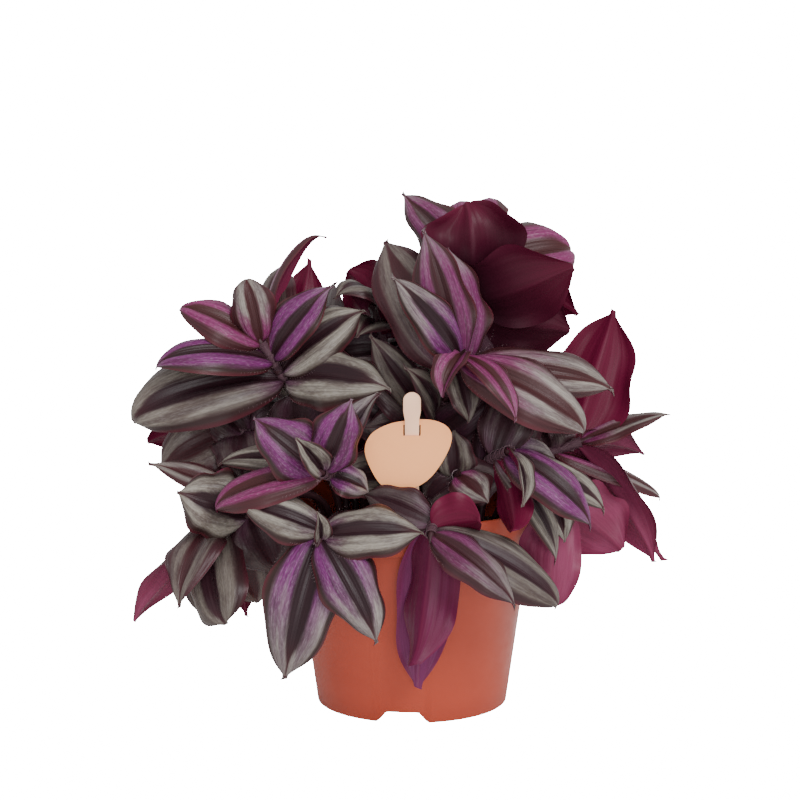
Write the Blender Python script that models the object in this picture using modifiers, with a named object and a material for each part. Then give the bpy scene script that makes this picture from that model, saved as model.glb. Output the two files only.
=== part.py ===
"""Potted tradescantia: a nursery pot of soil, a label on a stick, and the leafy stems that grow from the
soil.

Metres, +Z up. The origin is on the pot's axis, on the surface that it stands on, and the front looks along
-Y. Each leafy stem is one object, with its leaves fused to it. The leaves of the front stems are placed by
hand: (across, up) is where a viewer in front sees a tip, on the plane through the foot of the pot, and
front is how far it lies before the pot's axis. The leaves behind the front stems and those of the back
stems follow rules. A leaf that would cross another stem's leaf is bent clear of it.
"""

import math
import random

import bmesh
import bpy
import numpy as np
from mathutils import Matrix, Vector
from mathutils.bvhtree import BVHTree

MM = 0.001
GAP = 0.3 * MM
ROUND_STEPS = 36
SOIL_SIDES = 32
MERGE = 0.00005
CAP_MERGE = 0.000005
SHARP_ANGLE = math.radians(35)

# Pot: a 12 cm nursery pot
POT_HEIGHT = 97.0
RIM_RADIUS = 60.0
FOOT_RADIUS = 44.6
WALL_SPREAD = 0.141
WALL = 1.2
BAND_BOTTOM = 82.0
BAND_FOOT_RADIUS = 59.0
BAND_WALL = 1.4
FOOT_ROUND = 0.6
FOOT_RING_WIDTH = 2.4
FLOOR_UNDERSIDE = 5.5
FLOOR_TOP = 6.8
BAND_SHOULDER = 2.0
FOOT_RING_TAPER = 0.2
MIDDLE_SKIN = 1.0
MIDDLE_RADIUS = 18.0
MIDDLE_TOP = 1.4
MIDDLE_SLOPE = 2.4
DRAIN_COUNT = 6
DRAIN_RADIUS = 3.5
DRAIN_RING_RADIUS = 31.0
DRAIN_CUT = (3.0, 9.0)
DRAIN_SIDES = 16
NOTCH_COUNT = 3
NOTCH_TURN = math.radians(-96.0)
NOTCH_WIDTHS = (24.0, 15.0)
NOTCH_HEIGHT = 5.2
NOTCH_DEPTH = 8.0
NOTCH_BELOW = 1.0

# Soil
SOIL_TOP = 79.3
STEM_HOLE_DEPTH = 24.0
STEM_HOLE_GAP = 0.5
STEM_HOLE_SIDES = 6
HOLE_ABOVE_SOIL = 5.0

# Label
CARD_THICKNESS = 0.6
CARD_CORNER_STEPS = 3
CARD_OUTLINE = (
    (-22.4, 116.0), (-20.0, 124.5), (-12.5, 129.4), (-3.0, 131.6), (8.0, 132.1), (16.0, 129.4), (19.0, 124.0),
    (16.5, 115.5), (9.0, 104.6), (0.0, 99.0), (-9.0, 98.0), (-16.5, 103.0),
)
SLIT_AT = (0.0, 127.0)
SLIT_FRONT = 52.0
SLIT_SIZE = (7.8, 4.9)
STICK_WIDTH = 8.0
STICK_NECK_WIDTH = 6.5
STICK_THICKNESS = 0.8
STICK_ABOVE_SLIT = 18.5
STICK_BELOW_SLIT = 78.0
STICK_NECK_FROM_TOP = (9.0, 13.5)
STICK_TOP_STEPS = 7
STICK_POINT_LENGTH = 8.0
STICK_POINT_HALF = 0.8
STICK_LEAN = math.radians(12.0)
STICK_HOLE_DEPTH = 19.0

# The viewer, for whom (across, up) is given
VIEW_DISTANCE = 1500.0
VIEW_TILT = math.radians(10.5)
VIEW_CENTRE = (-5.7, 141.4)

# Stems and leaves
STEM_RADIUS = 2.0
STEM_TIP_RADIUS = 1.3
STEM_STEPS = 6
STEM_ROOT_TOP = 84.0
STEM_RISE_SHARE = 0.50
STEM_COME_SHARE = 0.40
LEAF_THICKNESS = 0.8
LEAF_NECK_HALF = 1.4
LEAF_NECK_SHARE = 0.08
LEAF_NECK_FADE = 6
MIDRIB_START = 0.28
CLEARANCE = 0.35
OWN_CLEARANCE = 0.1
OUTER_FROM_ROW = 1
FLAT_ANGLE = math.radians(0.5)

# A leaf's shape: how its halves rise from the midrib and droop to the margin, how far its tip hooks, where
# it is widest, how round its base is, and its rows and columns of facets
SHAPES = {
    "open": dict(rise=0.60, droop=0.40, hook=0.72, widest=0.41, power=0.62, rows=4, columns=2),
    "quilted": dict(rise=0.80, droop=0.85, hook=0.76, widest=0.39, power=0.64, rows=4, columns=4),
    "hooked": dict(rise=0.75, droop=0.80, hook=0.98, widest=0.38, power=0.68, rows=5, columns=4),
    "arched": dict(rise=0.80, droop=0.85, hook=0.96, widest=0.45, power=0.56, rows=4, columns=4),
    "cupped": dict(rise=0.45, droop=0.15, hook=0.74, widest=0.47, power=0.52, rows=4, columns=2),
    "folded": dict(rise=1.25, droop=0.30, hook=0.70, widest=0.41, power=0.62, rows=4, columns=2),
    "rolled": dict(rise=0.10, droop=-0.75, hook=0.72, widest=0.47, power=0.54, rows=4, columns=4),
    "plain": dict(rise=0.60, droop=0.40, hook=0.76, widest=0.41, power=0.62, rows=4, columns=2),
}

# Each front stem: its hole in the soil (x, y), its growing tip (across, up, front) and the way that it
# points. Each leaf: how far from the stem's tip it starts, its own tip (across, up, front), its width, the
# way that its upper face looks (right, up, toward the viewer), its arch as a share of its length, and its
# shape.
STEMS = {
    "front_star": dict(
        foot=(-20, -24), head=(-43, 107, 72), aim=(-0.3, -0.8, 0.35),
        leaves=[
            (6, (-76.5, 134, 66), 28, (-0.25, 0.45, 0.85), 0.12, "quilted"),
            (0, (-55.5, 123.5, 84), 13, (0.10, 0.45, 0.85), 0.06, "folded"),
            (2, (-28, 143, 68), 23, (-0.10, 0.25, 0.95), 0.10, "quilted"),
            (7, (-15, 146.5, 54), 15, (-0.25, 0.30, 0.90), 0.08, "folded"),
            (5, (-94, 87, 82), 25, (-0.10, 0.85, 0.50), 0.15, "hooked"),
            (22, (13, 107, 40), 26, (0.10, 0.45, 0.85), 0.04, "open"),
            (15, (-95, 110.5, 54), 18, (-0.10, 0.75, 0.35), 0.12, "open"),
            (10, (-20, 97, 62), 22, (0.10, 0.80, 0.50), 0.10, "open"),
        ]),
    "front_low": dict(
        foot=(-24, -40), head=(-44, 75, 80), aim=(-0.2, -0.8, -0.5),
        leaves=[
            (6, (-61, 5.5, 84), 34, (-0.20, 0.20, 0.95), 0.10, "open"),
            (2, (-16, 23.5, 90), 27, (0.30, 0.30, 0.90), 0.13, "quilted"),
            (3, (7.5, 78, 80), 26, (0.00, 0.50, 0.85), 0.14, "quilted"),
            (6, (-83, 92, 70), 23, (-0.10, 0.60, 0.80), 0.12, "quilted"),
            (0, (-45, 88.5, 88), 9, (0.30, 0.20, 0.90), 0.05, "folded"),
        ]),
    "front_mid": dict(
        foot=(16, -40), head=(9, 77, 76), aim=(-0.1, -0.8, -0.5),
        leaves=[
            (2, (1, 14, 86), 26, (0.25, -0.20, -0.90), 0.08, "rolled"),
            (7, (2, 2.5, 76), 27, (0.05, -0.20, -0.95), 0.06, "cupped"),
            (3, (70, 41, 72), 31, (0.20, 0.75, 0.50), 0.12, "hooked"),
            (1, (51, 41.5, 82), 22, (0.20, 0.60, 0.75), 0.14, "quilted"),
            (5, (33, 84, 78), 22, (-0.15, 0.35, -0.90), 0.10, "rolled"),
            (9, (-24, 97, 56), 20, (-0.10, 0.50, 0.85), 0.08, "open"),
        ]),
    "front_inner": dict(
        foot=(14, -18), head=(22, 106, 48), aim=(0.15, -0.7, 0.4),
        leaves=[
            (2, (37, 92, 58), 20, (0.35, 0.30, 0.90), 0.10, "open"),
            (5, (5, 92, 48), 24, (-0.20, 0.45, 0.85), 0.12, "open"),
            (6, (20, 128, 44), 20, (-0.10, 0.30, 0.90), 0.10, "open"),
            (9, (46, 104, 44), 22, (0.30, 0.45, 0.85), 0.12, "open"),
        ]),
    "centre_high": dict(
        foot=(10, -8), head=(24, 163, 52), aim=(0.2, -0.75, 0.6),
        leaves=[
            (8, (4.5, 225, 48), 25, (0.15, 0.25, 0.95), 0.10, "quilted"),
            (5, (-11, 201.5, 52), 20, (0.25, 0.45, 0.85), 0.10, "quilted"),
            (0, (14, 142, 68), 16, (-0.30, 0.40, 0.85), 0.14, "folded"),
            (2, (50.5, 130, 72), 15, (0.50, 0.60, 0.60), 0.18, "open"),
            (8, (82.5, 123, 58), 32, (0.25, 0.65, 0.70), 0.18, "hooked"),
            (12, (17, 216, 40), 34, (0.35, 0.20, 0.90), 0.08, "open"),
            (14, (-14, 220, 14), 34, (-0.20, 0.20, 0.95), 0.12, "open"),
            (20, (99, 145, 34), 28, (0.20, 0.60, 0.75), 0.16, "quilted"),
            (14, (27.5, 129.5, 52), 16, (0.20, 0.50, 0.80), 0.12, "open"),
        ]),
    "top": dict(
        foot=(14, 8), head=(31, 210, 22), aim=(0.15, -0.25, 0.95),
        leaves=[
            (15, (26, 235, 22), 46, (-0.15, 0.10, -0.95), -0.30, "arched"),
            (23, (78, 207, 42), 44, (0.10, 0.30, -0.92), -0.12, "cupped"),
            (28, (76, 175, 30), 46, (0.15, 0.20, -0.95), -0.08, "cupped"),
            (6, (-6, 241, 14), 23, (-0.10, 0.30, 0.95), 0.07, "quilted"),
            (3, (30, 226, -14), 30, (0.00, 0.95, 0.30), 0.42, "arched"),
            (8, (77, 211, 14), 35, (0.00, 0.60, 0.80), 0.19, "arched"),
            (1, (51, 224, -2), 26, (0.20, 0.40, 0.90), 0.06, "open"),
            (16, (81, 182, -2), 40, (0.25, 0.45, -0.80), 0.10, "open"),
            (26, (58, 160, -4), 40, (0.10, 0.40, 0.85), 0.12, "open"),
        ]),
    "left_high": dict(
        foot=(-22, -4), head=(-72, 169, 25), aim=(-0.4, -0.15, 0.9),
        leaves=[
            (22, (-134.5, 129, 30), 35, (0.00, 0.75, 0.65), 0.16, "arched"),
            (22, (-8, 146, 44), 32, (0.15, 0.60, 0.75), 0.14, "quilted"),
            (12, (-124, 155, 40), 26, (-0.10, 0.80, 0.60), 0.18, "hooked"),
            (2, (-112, 184.5, 16), 24, (0.05, 0.75, 0.65), 0.15, "hooked"),
            (0, (-79, 200, 24), 20, (0.00, 0.15, 0.95), 0.16, "arched"),
            (8, (-39, 220, 0), 20, (-0.85, 0.45, -0.25), 0.19, "hooked"),
            (10, (-37, 197, 30), 21, (-0.35, 0.40, 0.85), 0.14, "open"),
            (18, (-21, 185, 22), 28, (-0.35, 0.65, 0.65), 0.10, "quilted"),
            (14, (-48, 210, -12), 27, (0.30, 0.30, -0.90), 0.10, "open"),
            (14, (-62, 208, -10), 25, (-0.30, 0.30, 0.80), 0.10, "open"),
            (20, (-37, 200, -2), 34, (-0.10, 0.45, 0.80), 0.06, "open"),
            (30, (-50, 118, 10), 32, (0.00, 0.30, 0.90), 0.08, "open"),
        ]),
    "right_low": dict(
        foot=(28, -24), head=(46, 117, 58), aim=(0.5, -0.7, 0.3),
        leaves=[
            (4, (87, 79, 64), 25, (0.35, 0.60, 0.70), 0.16, "quilted"),
            (1, (53, 90, 72), 12, (0.70, 0.30, 0.60), 0.10, "folded"),
            (8, (49, 78, 62), 17, (0.30, -0.20, -0.90), 0.12, "rolled"),
            (12, (70, 62, 58), 18, (0.30, 0.60, 0.70), 0.14, "open"),
            (15, (94, 87, 38), 18, (0.10, 0.70, 0.65), 0.14, "open"),
            (18, (70, 113, 34), 28, (0.40, 0.30, 0.85), 0.12, "open"),
        ]),
    "right_out": dict(
        foot=(32, -2), head=(82, 122, 2), aim=(0.8, -0.1, 0.35),
        leaves=[
            (6, (97, 186, -12), 40, (0.20, 0.10, -0.95), 0.02, "open"),
            (2, (124, 136, 0), 20, (0.00, 0.90, 0.35), 0.02, "open"),
            (8, (112, 116, -10), 25, (0.30, 0.30, -0.85), 0.10, "open"),
            (4, (117, 63, 14), 31, (0.60, 0.45, -0.65), 0.04, "open"),
            (12, (121, 65, -4), 20, (0.50, 0.20, -0.80), 0.02, "open"),
            (16, (119.5, 93.5, -20), 18, (0.20, 0.85, 0.20), 0.06, "hooked"),
            (18, (62, 128, -4), 28, (-0.20, 0.30, 0.90), 0.10, "open"),
        ]),
    "right_under": dict(
        foot=(38, -12), head=(73, 92, 26), aim=(0.6, -0.3, -0.35),
        leaves=[
            (4, (66, 41, 42), 30, (-0.10, 0.20, -0.95), 0.06, "cupped"),
            (8, (101, 69, 18), 36, (0.30, 0.20, -0.90), 0.10, "cupped"),
            (10, (73, 73, 44), 16, (0.30, 0.50, 0.75), 0.12, "open"),
        ]),
    "left_low": dict(
        foot=(-38, -12), head=(-80, 85, 44), aim=(-0.8, -0.4, -0.5),
        leaves=[
            (12, (-127, 112.5, 30), 17, (0.00, 0.90, 0.35), 0.02, "open"),
            (3, (-113, 98, 54), 33, (-0.30, 0.35, 0.90), 0.06, "quilted"),
            (4, (-64, 59, 42), 36, (0.10, 0.30, 0.90), 0.12, "open"),
            (16, (-97, 108, 24), 26, (-0.20, 0.40, 0.85), 0.12, "open"),
        ]),
    "left_under": dict(
        foot=(-42, 2), head=(-98, 78, 34), aim=(-0.8, -0.2, -0.3),
        leaves=[
            (2, (-134.5, 35.5, 44), 33, (-0.60, 0.55, -0.55), 0.00, "cupped"),
            (3, (-88, 33, 56), 34, (-0.45, 0.20, 0.85), 0.12, "arched"),
            (6, (-112, 41, 48), 26, (-0.35, 0.30, 0.85), 0.10, "open"),
            (5, (-100, 37, 50), 27, (-0.10, 0.20, 0.95), 0.12, "open"),
            (9, (-73, 43, 40), 32, (0.20, 0.35, 0.90), 0.12, "open"),
            (12, (-79, 37, 24), 20, (0.10, 0.20, -0.95), 0.10, "open"),
        ]),
    "left_mid": dict(
        foot=(-34, 2), head=(-88, 128, 10), aim=(-0.8, -0.1, 0.35),
        leaves=[
            (4, (-121, 109, 16), 34, (-0.50, 0.30, 0.85), 0.12, "open"),
            (8, (-128, 122, -4), 34, (-0.30, 0.30, -0.85), 0.12, "cupped"),
            (7, (-80, 102, 36), 26, (-0.10, 0.30, 0.90), 0.12, "open"),
            (12, (-52, 132, 2), 34, (0.10, 0.30, 0.90), 0.10, "open"),
            (10, (-102, 143, 6), 26, (-0.20, 0.50, 0.80), 0.10, "open"),
        ]),
    "centre_back": dict(
        foot=(-8, 8), head=(-16, 180, -4), aim=(-0.2, -0.3, 0.9),
        leaves=[
            (5, (-38, 189, 22), 28, (-0.20, 0.80, 0.50), 0.30, "hooked"),
            (10, (-27, 171, 34), 20, (0.00, 0.80, 0.60), 0.20, "open"),
            (2, (-31, 204, -22), 38, (0.10, 0.50, -0.80), 0.10, "cupped"),
            (8, (-2, 193, 10), 22, (0.20, 0.60, 0.75), 0.14, "open"),
            (16, (-44, 161, -12), 30, (-0.10, 0.40, 0.85), 0.10, "open"),
        ]),
    "middle": dict(
        foot=(-4, -10), head=(10, 138, 22), aim=(0.1, -0.4, 0.9),
        leaves=[
            (6, (-21, 174, 24), 20, (-0.30, 0.50, 0.80), 0.14, "open"),
            (8, (-4, 158, 38), 18, (0.00, 0.60, 0.75), 0.14, "open"),
            (14, (-24, 128, 32), 24, (-0.20, 0.40, 0.85), 0.14, "open"),
            (12, (44, 150, 24), 26, (0.30, 0.50, 0.80), 0.14, "open"),
            (16, (-46, 143, 16), 28, (-0.10, 0.40, 0.85), 0.10, "open"),
            (9, (-30, 163, 10), 26, (-0.20, 0.40, 0.85), 0.10, "open"),
            (18, (-12, 146, 10), 28, (0.00, 0.40, 0.85), 0.10, "open"),
        ]),
}

# How a hand-placed leaf may be bent clear: slimmer, more arched, rolled, slid along its stem, nearer or
# deeper
SLIMMINGS = (1.0, 0.88)
EXTRA_ARCHES = (0.0, 0.07, -0.07)
ROLLS = (0.0, 0.35, -0.35)
SLIDES = (0.0, 4.0)
SHIFTS = (0, 5, -5, 10, -10, 16, -16, 23, -23)

# Back stems: the side that each leans to, how far it reaches, how high its tip stands and how many leaves
# it has
BACK_STEMS = (
    (26.0, 80.0, 104.0, 7),
    (46.0, 80.0, 146.0, 7),
    (72.0, 60.0, 176.0, 7),
    (80.0, 90.0, 104.0, 7),
    (104.0, 84.0, 142.0, 7),
    (128.0, 60.0, 178.0, 7),
    (142.0, 88.0, 104.0, 7),
    (158.0, 74.0, 146.0, 6),
    (118.0, 38.0, 162.0, 6),
)
BACK_FOOT_RADIUS = 34.0
FULL_FOOT_REACH = 75.0
HIGH_STEM = 130.0
HIGH_AIM = 0.9
GOLDEN_TURN = math.radians(137.5)
BACK_LEAF_SPACING = 8.0
BACK_LEAF_LENGTHS = (40.0, 64.0)
BACK_LEAF_SLENDER = 0.48
BACK_LEAF_LIFT = (0.75, -0.30)
BACK_LEAF_JITTER = 0.10
BACK_WAY_UP = 0.05
BACK_FIRST_START = 1.5
RULE_ARCH = 0.12
RULE_SAG = 0.12
RULE_SCALES = (1.0, 0.88, 0.76)
RULE_TILTS = (0.0, 0.25, -0.25, 0.5, -0.5)
RULE_SWINGS = (0.0, 0.22, -0.22, 0.44, -0.44, 0.66, -0.66)
RULE_FACE_ALONG_STEM = 0.8
RULE_FACE_UP = 0.6
BEHIND_STEMS = (
    "centre_high", "top", "left_high", "right_low", "right_out", "left_mid", "centre_back",
)
BEHIND_STARTS = (14.0, 26.0, 38.0)
BEHIND_TURNS = (0.8, -0.8, 0.0)
BEHIND_LENGTHS = (52.0, 58.0, 60.0)
BEHIND_LIFT = 0.15
BEHIND_WAY = (0.0, 1.0, 0.2)
BEHIND_FORWARD = 18.0
CROWN_CENTRE = (-4.0, 6.0, 106.0)
CROWN_RADII = (112.0, 114.0, 92.0)
LOWEST_LEAF = 12.0
SEED = 2207

# Each material's colour and roughness
PAINTS = {
    "terracotta_plastic": ((0.50, 0.105, 0.060), 0.45),
    "dark_soil": ((0.030, 0.020, 0.014), 0.95),
    "peach_card": ((0.80, 0.52, 0.35), 0.7),
    "pale_card": ((0.92, 0.76, 0.64), 0.7),
    "leaf": ((0.16, 0.045, 0.10), 0.5),
}


def unit(vector):
    """The vector at length 1."""
    vector = np.asarray(vector, dtype=float)
    return vector / np.linalg.norm(vector)


def clear_scene():
    """Remove every object, so that the script can be run again."""
    for thing in list(bpy.data.objects):
        bpy.data.objects.remove(thing, do_unlink=True)


def new_collection(name):
    """A collection in the scene."""
    collection = bpy.data.collections.new(name)
    bpy.context.scene.collection.children.link(collection)
    return collection


def painted(paint, name):
    """A plain Principled material with this paint."""
    colour, roughness = PAINTS[paint]
    material = bpy.data.materials.new(name)
    material.use_nodes = True
    shader = material.node_tree.nodes["Principled BSDF"]
    shader.inputs["Base Color"].default_value = (*colour, 1.0)
    shader.inputs["Roughness"].default_value = roughness
    return material


def place(name, data, collection):
    """A new object with this mesh or curve, in the collection."""
    thing = bpy.data.objects.new(name, data)
    collection.objects.link(thing)
    return thing


def baked(thing, name, collection):
    """A mesh copy of an object as its modifiers leave it, with loose caps joined, in place of the object."""
    bpy.context.view_layer.update()
    depsgraph = bpy.context.evaluated_depsgraph_get()
    mesh = bpy.data.meshes.new_from_object(thing.evaluated_get(depsgraph))
    matrix = thing.matrix_world.copy()
    bpy.data.objects.remove(thing, do_unlink=True)
    joined = bmesh.new()
    joined.from_mesh(mesh)
    bmesh.ops.remove_doubles(joined, verts=joined.verts, dist=CAP_MERGE)
    joined.to_mesh(mesh)
    joined.free()
    copy = place(name, mesh, collection)
    copy.matrix_world = matrix
    return copy


def add_boolean(target, cutter, operation):
    """Cut the target with one object."""
    boolean = target.modifiers.new(operation.title(), "BOOLEAN")
    boolean.operation = operation
    boolean.solver = "EXACT"
    boolean.object = cutter


def turned(name, profile, collection):
    """A body turned from (radius, height) points in mm, from the axis inside to the axis underneath."""
    mesh = bpy.data.meshes.new(name)
    edges = [(index, index + 1) for index in range(len(profile) - 1)]
    mesh.from_pydata([(radius * MM, 0.0, height * MM) for radius, height in profile], edges, [])
    body = place(name, mesh, collection)
    screw = body.modifiers.new("Turn", "SCREW")
    screw.steps = screw.render_steps = ROUND_STEPS
    screw.use_merge_vertices = True
    screw.merge_threshold = MERGE
    return body


def as_cutter(thing):
    """Show a cutter as wire and keep it out of renders."""
    thing.display_type = "WIRE"
    thing.hide_render = True
    return thing


def cylinder_cutter(name, radius, bottom, top, at, sides, collection):
    """An upright cylinder to cut with."""
    mesh = bpy.data.meshes.new(name)
    shape = bmesh.new()
    bmesh.ops.create_cone(
        shape, cap_ends=True, segments=sides, radius1=radius * MM, radius2=radius * MM,
        depth=(top - bottom) * MM)
    shape.to_mesh(mesh)
    shape.free()
    cutter = place(name, mesh, collection)
    cutter.location = (at[0] * MM, at[1] * MM, (top + bottom) / 2 * MM)
    return as_cutter(cutter)


def wall_radius(height):
    """The pot's outer radius below the rim band."""
    return FOOT_RADIUS + WALL_SPREAD * height


def make_pot(collection, cutters):
    """The turned pot, with notches in its foot ring and drain holes in its floor."""
    band_inner_foot = BAND_FOOT_RADIUS - BAND_WALL
    rim_inner = RIM_RADIUS - BAND_WALL
    ring_inner = wall_radius(0) - FOOT_RING_WIDTH
    profile = (
        (0, MIDDLE_TOP),
        (MIDDLE_RADIUS - MIDDLE_SKIN, MIDDLE_TOP),
        (MIDDLE_RADIUS + MIDDLE_SLOPE - MIDDLE_SKIN, FLOOR_TOP),
        (wall_radius(FLOOR_TOP) - WALL, FLOOR_TOP),
        (wall_radius(BAND_BOTTOM) - WALL, BAND_BOTTOM),
        (band_inner_foot, BAND_BOTTOM + BAND_SHOULDER),
        (rim_inner, POT_HEIGHT),
        (RIM_RADIUS, POT_HEIGHT),
        (BAND_FOOT_RADIUS, BAND_BOTTOM),
        (wall_radius(BAND_BOTTOM), BAND_BOTTOM),
        (wall_radius(0) + FOOT_ROUND / 2, FOOT_ROUND * 2),
        (wall_radius(0) - FOOT_ROUND / 2, 0),
        (ring_inner, 0),
        (ring_inner - FOOT_RING_TAPER, FLOOR_UNDERSIDE),
        (MIDDLE_RADIUS + MIDDLE_SLOPE, FLOOR_UNDERSIDE),
        (MIDDLE_RADIUS, 0),
        (0, 0),
    )
    pot = turned("nursery_pot", profile, collection)
    for index in range(DRAIN_COUNT):
        turn = 2 * math.pi * (index + 0.5) / DRAIN_COUNT
        at = (DRAIN_RING_RADIUS * math.cos(turn), DRAIN_RING_RADIUS * math.sin(turn))
        drain = cylinder_cutter(f"drain_{index + 1}", DRAIN_RADIUS, *DRAIN_CUT, at, DRAIN_SIDES, cutters)
        add_boolean(pot, drain, "DIFFERENCE")
    for index in range(NOTCH_COUNT):
        add_boolean(pot, notch_cutter(index, cutters), "DIFFERENCE")
    pot.data.materials.append(painted("terracotta_plastic", "terracotta_plastic"))
    return pot


def notch_cutter(index, cutters):
    """A block that narrows upwards, across the foot ring."""
    mesh = bpy.data.meshes.new(f"notch_{index + 1}")
    block = bmesh.new()
    bmesh.ops.create_cube(block, size=1.0)
    for vertex in block.verts:
        width = NOTCH_WIDTHS[1] if vertex.co.z > 0 else NOTCH_WIDTHS[0]
        height = NOTCH_HEIGHT if vertex.co.z > 0 else -NOTCH_BELOW
        vertex.co = Vector((vertex.co.x * NOTCH_DEPTH, vertex.co.y * width, height)) * MM
    block.to_mesh(mesh)
    block.free()
    cutter = place(mesh.name, mesh, cutters)
    turn = NOTCH_TURN + 2 * math.pi * index / NOTCH_COUNT
    middle = wall_radius(0)
    cutter.location = (middle * math.cos(turn) * MM, middle * math.sin(turn) * MM, 0)
    cutter.rotation_euler.z = turn
    return as_cutter(cutter)


def make_soil(collection, cutters, holes):
    """The soil, with a plain hole for each stem and one for the label's stick."""
    bottom = FLOOR_TOP + GAP / MM
    clear = WALL + GAP / MM
    mesh = bpy.data.meshes.new("potting_soil")
    body = bmesh.new()
    bmesh.ops.create_cone(
        body, cap_ends=True, segments=SOIL_SIDES, radius1=(wall_radius(bottom) - clear) * MM,
        radius2=(wall_radius(SOIL_TOP) - clear) * MM, depth=(SOIL_TOP - bottom) * MM)
    bmesh.ops.translate(body, verts=body.verts, vec=(0.0, 0.0, (SOIL_TOP + bottom) / 2 * MM))
    body.to_mesh(mesh)
    body.free()
    soil = place("potting_soil", mesh, collection)
    for name, at in holes.items():
        radius = STEM_RADIUS + STEM_HOLE_GAP
        bottom = SOIL_TOP - STEM_HOLE_DEPTH
        top = SOIL_TOP + HOLE_ABOVE_SOIL
        hole = cylinder_cutter(f"hole_{name}", radius, bottom, top, at, STEM_HOLE_SIDES, cutters)
        add_boolean(soil, hole, "DIFFERENCE")
    soil.data.materials.append(painted("dark_soil", "dark_soil"))
    return soil


def view_axes():
    """The viewer's way in and way up, as unit vectors."""
    forward = np.array((0.0, math.cos(VIEW_TILT), -math.sin(VIEW_TILT)))
    upward = np.array((0.0, math.sin(VIEW_TILT), math.cos(VIEW_TILT)))
    return forward, upward


def sight(across, up, front):
    """The point, in metres, seen at (across, up) that lies front mm before the pot's axis."""
    forward, upward = view_axes()
    rightward = np.array((1.0, 0.0, 0.0))
    eye = VIEW_CENTRE[0] * rightward + VIEW_CENTRE[1] * upward - VIEW_DISTANCE * forward
    seen = across * rightward + up * upward
    share = (-front - eye[1]) / (seen[1] - eye[1])
    return (eye + (seen - eye) * share) * MM


def looking(right, up, toward):
    """A direction given to the right, up and toward the viewer, as a unit vector."""
    return unit((right, -toward, up))


def bezier(corners, shares):
    """Points along a cubic curve, at these shares of it."""
    t = np.asarray(shares)[:, None]
    first, second, third, last = (np.asarray(corner) for corner in corners)
    return (1 - t) ** 3 * first + 3 * t * (1 - t) ** 2 * second + 3 * t * t * (1 - t) * third + t ** 3 * last


def stem_line(foot, head, aim):
    """A stem's middle line: up from its hole, then over in one curve to its growing tip."""
    start = np.array((foot[0] * MM, foot[1] * MM, STEM_ROOT_TOP * MM))
    reach = np.linalg.norm(head - start)
    rise = start + np.array((0.0, 0.0, STEM_RISE_SHARE * reach))
    come = head - unit(aim) * STEM_COME_SHARE * reach
    curve = bezier((start, rise, come, head), np.linspace(0.0, 1.0, STEM_STEPS + 1))
    root_bottom = (SOIL_TOP - STEM_HOLE_DEPTH) * MM + GAP
    root = np.array([(start[0], start[1], root_bottom)])
    return np.vstack((root, curve))


def from_tip(line, distance):
    """The point on a stem's line this far from its tip, and the way that the stem runs there."""
    back = line[::-1]
    steps = np.linalg.norm(np.diff(back, axis=0), axis=1)
    travelled = np.concatenate(([0.0], np.cumsum(steps)))
    point = np.array([np.interp(distance, travelled, back[:, axis]) for axis in range(3)])
    index = min(int(np.searchsorted(travelled, distance, side="right")), len(steps)) - 1
    return point, unit(back[index] - back[index + 1])


def make_stem(name, line, collection):
    """A tube along the line, thinner to its tip."""
    curve = bpy.data.curves.new(name, "CURVE")
    curve.dimensions = "3D"
    curve.bevel_depth = STEM_RADIUS * MM
    curve.bevel_resolution = 0
    curve.use_fill_caps = True
    spline = curve.splines.new("POLY")
    spline.points.add(len(line) - 1)
    for index, (point, place_on) in enumerate(zip(spline.points, line)):
        share = index / (len(line) - 1)
        point.co = (*place_on, 1.0)
        point.radius = 1.0 + (STEM_TIP_RADIUS / STEM_RADIUS - 1.0) * share
    return baked(place(f"{name}_tube", curve, collection), name, collection)


def blade_width(u, width, form):
    """Half the blade's width: a narrow neck, rounded to its widest, then drawn out to the tip."""
    past_neck = np.clip((u - LEAF_NECK_SHARE) / (1 - LEAF_NECK_SHARE), 0.0, 1.0)
    widest, base_power = form["widest"], form["power"]
    tip_power = base_power * (1 - widest) / widest
    outline = (past_neck / widest) ** base_power * ((1 - past_neck) / (1 - widest)) ** tip_power
    return width / 2 * outline + LEAF_NECK_HALF * (1 - u) ** LEAF_NECK_FADE


def row_shares(rows):
    """Where the blade's rows lie along it: the base, the end of the neck, then evenly to the tip."""
    return np.concatenate(([0.0], np.linspace(LEAF_NECK_SHARE, 1.0, rows)))


def blade_grid(leaf, rows, columns, spare=0.0):
    """The blade as rows of points from base to tip, all in metres.

    The midrib is a cubic curve from base to tip that arches toward the way the upper face looks. A cubic's
    middle comes three quarters of the way to its inner corners, so those are raised by four thirds of the
    arch. Across it, each half rises by rise times |v| and droops by droop times v squared, as shares of the
    half width.
    """
    base, tip, face, width, arch, shape = leaf
    form = SHAPES[shape]
    chord = tip - base
    length = np.linalg.norm(chord)
    along = chord / length
    out = unit(face - along * np.dot(face, along))
    side = np.cross(along, out)
    rise = out * arch * length * 4 / 3
    first = base + along * MIDRIB_START * length + rise
    second = base + along * form["hook"] * length + rise
    u = row_shares(rows)
    midrib = bezier((base, first, second, tip), u)
    tangent = np.gradient(midrib, axis=0)
    tangent /= np.linalg.norm(tangent, axis=1)[:, None]
    normal = np.cross(side, tangent)
    v = np.linspace(-1.0, 1.0, columns + 1)
    half = (blade_width(u, width, form) * MM + spare)[:, None, None]
    lift = (form["rise"] * np.abs(v) - form["droop"] * v * v)[None, :, None]
    return midrib[:, None, :] + half * (v[None, :, None] * side + lift * normal[:, None, :])


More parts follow.
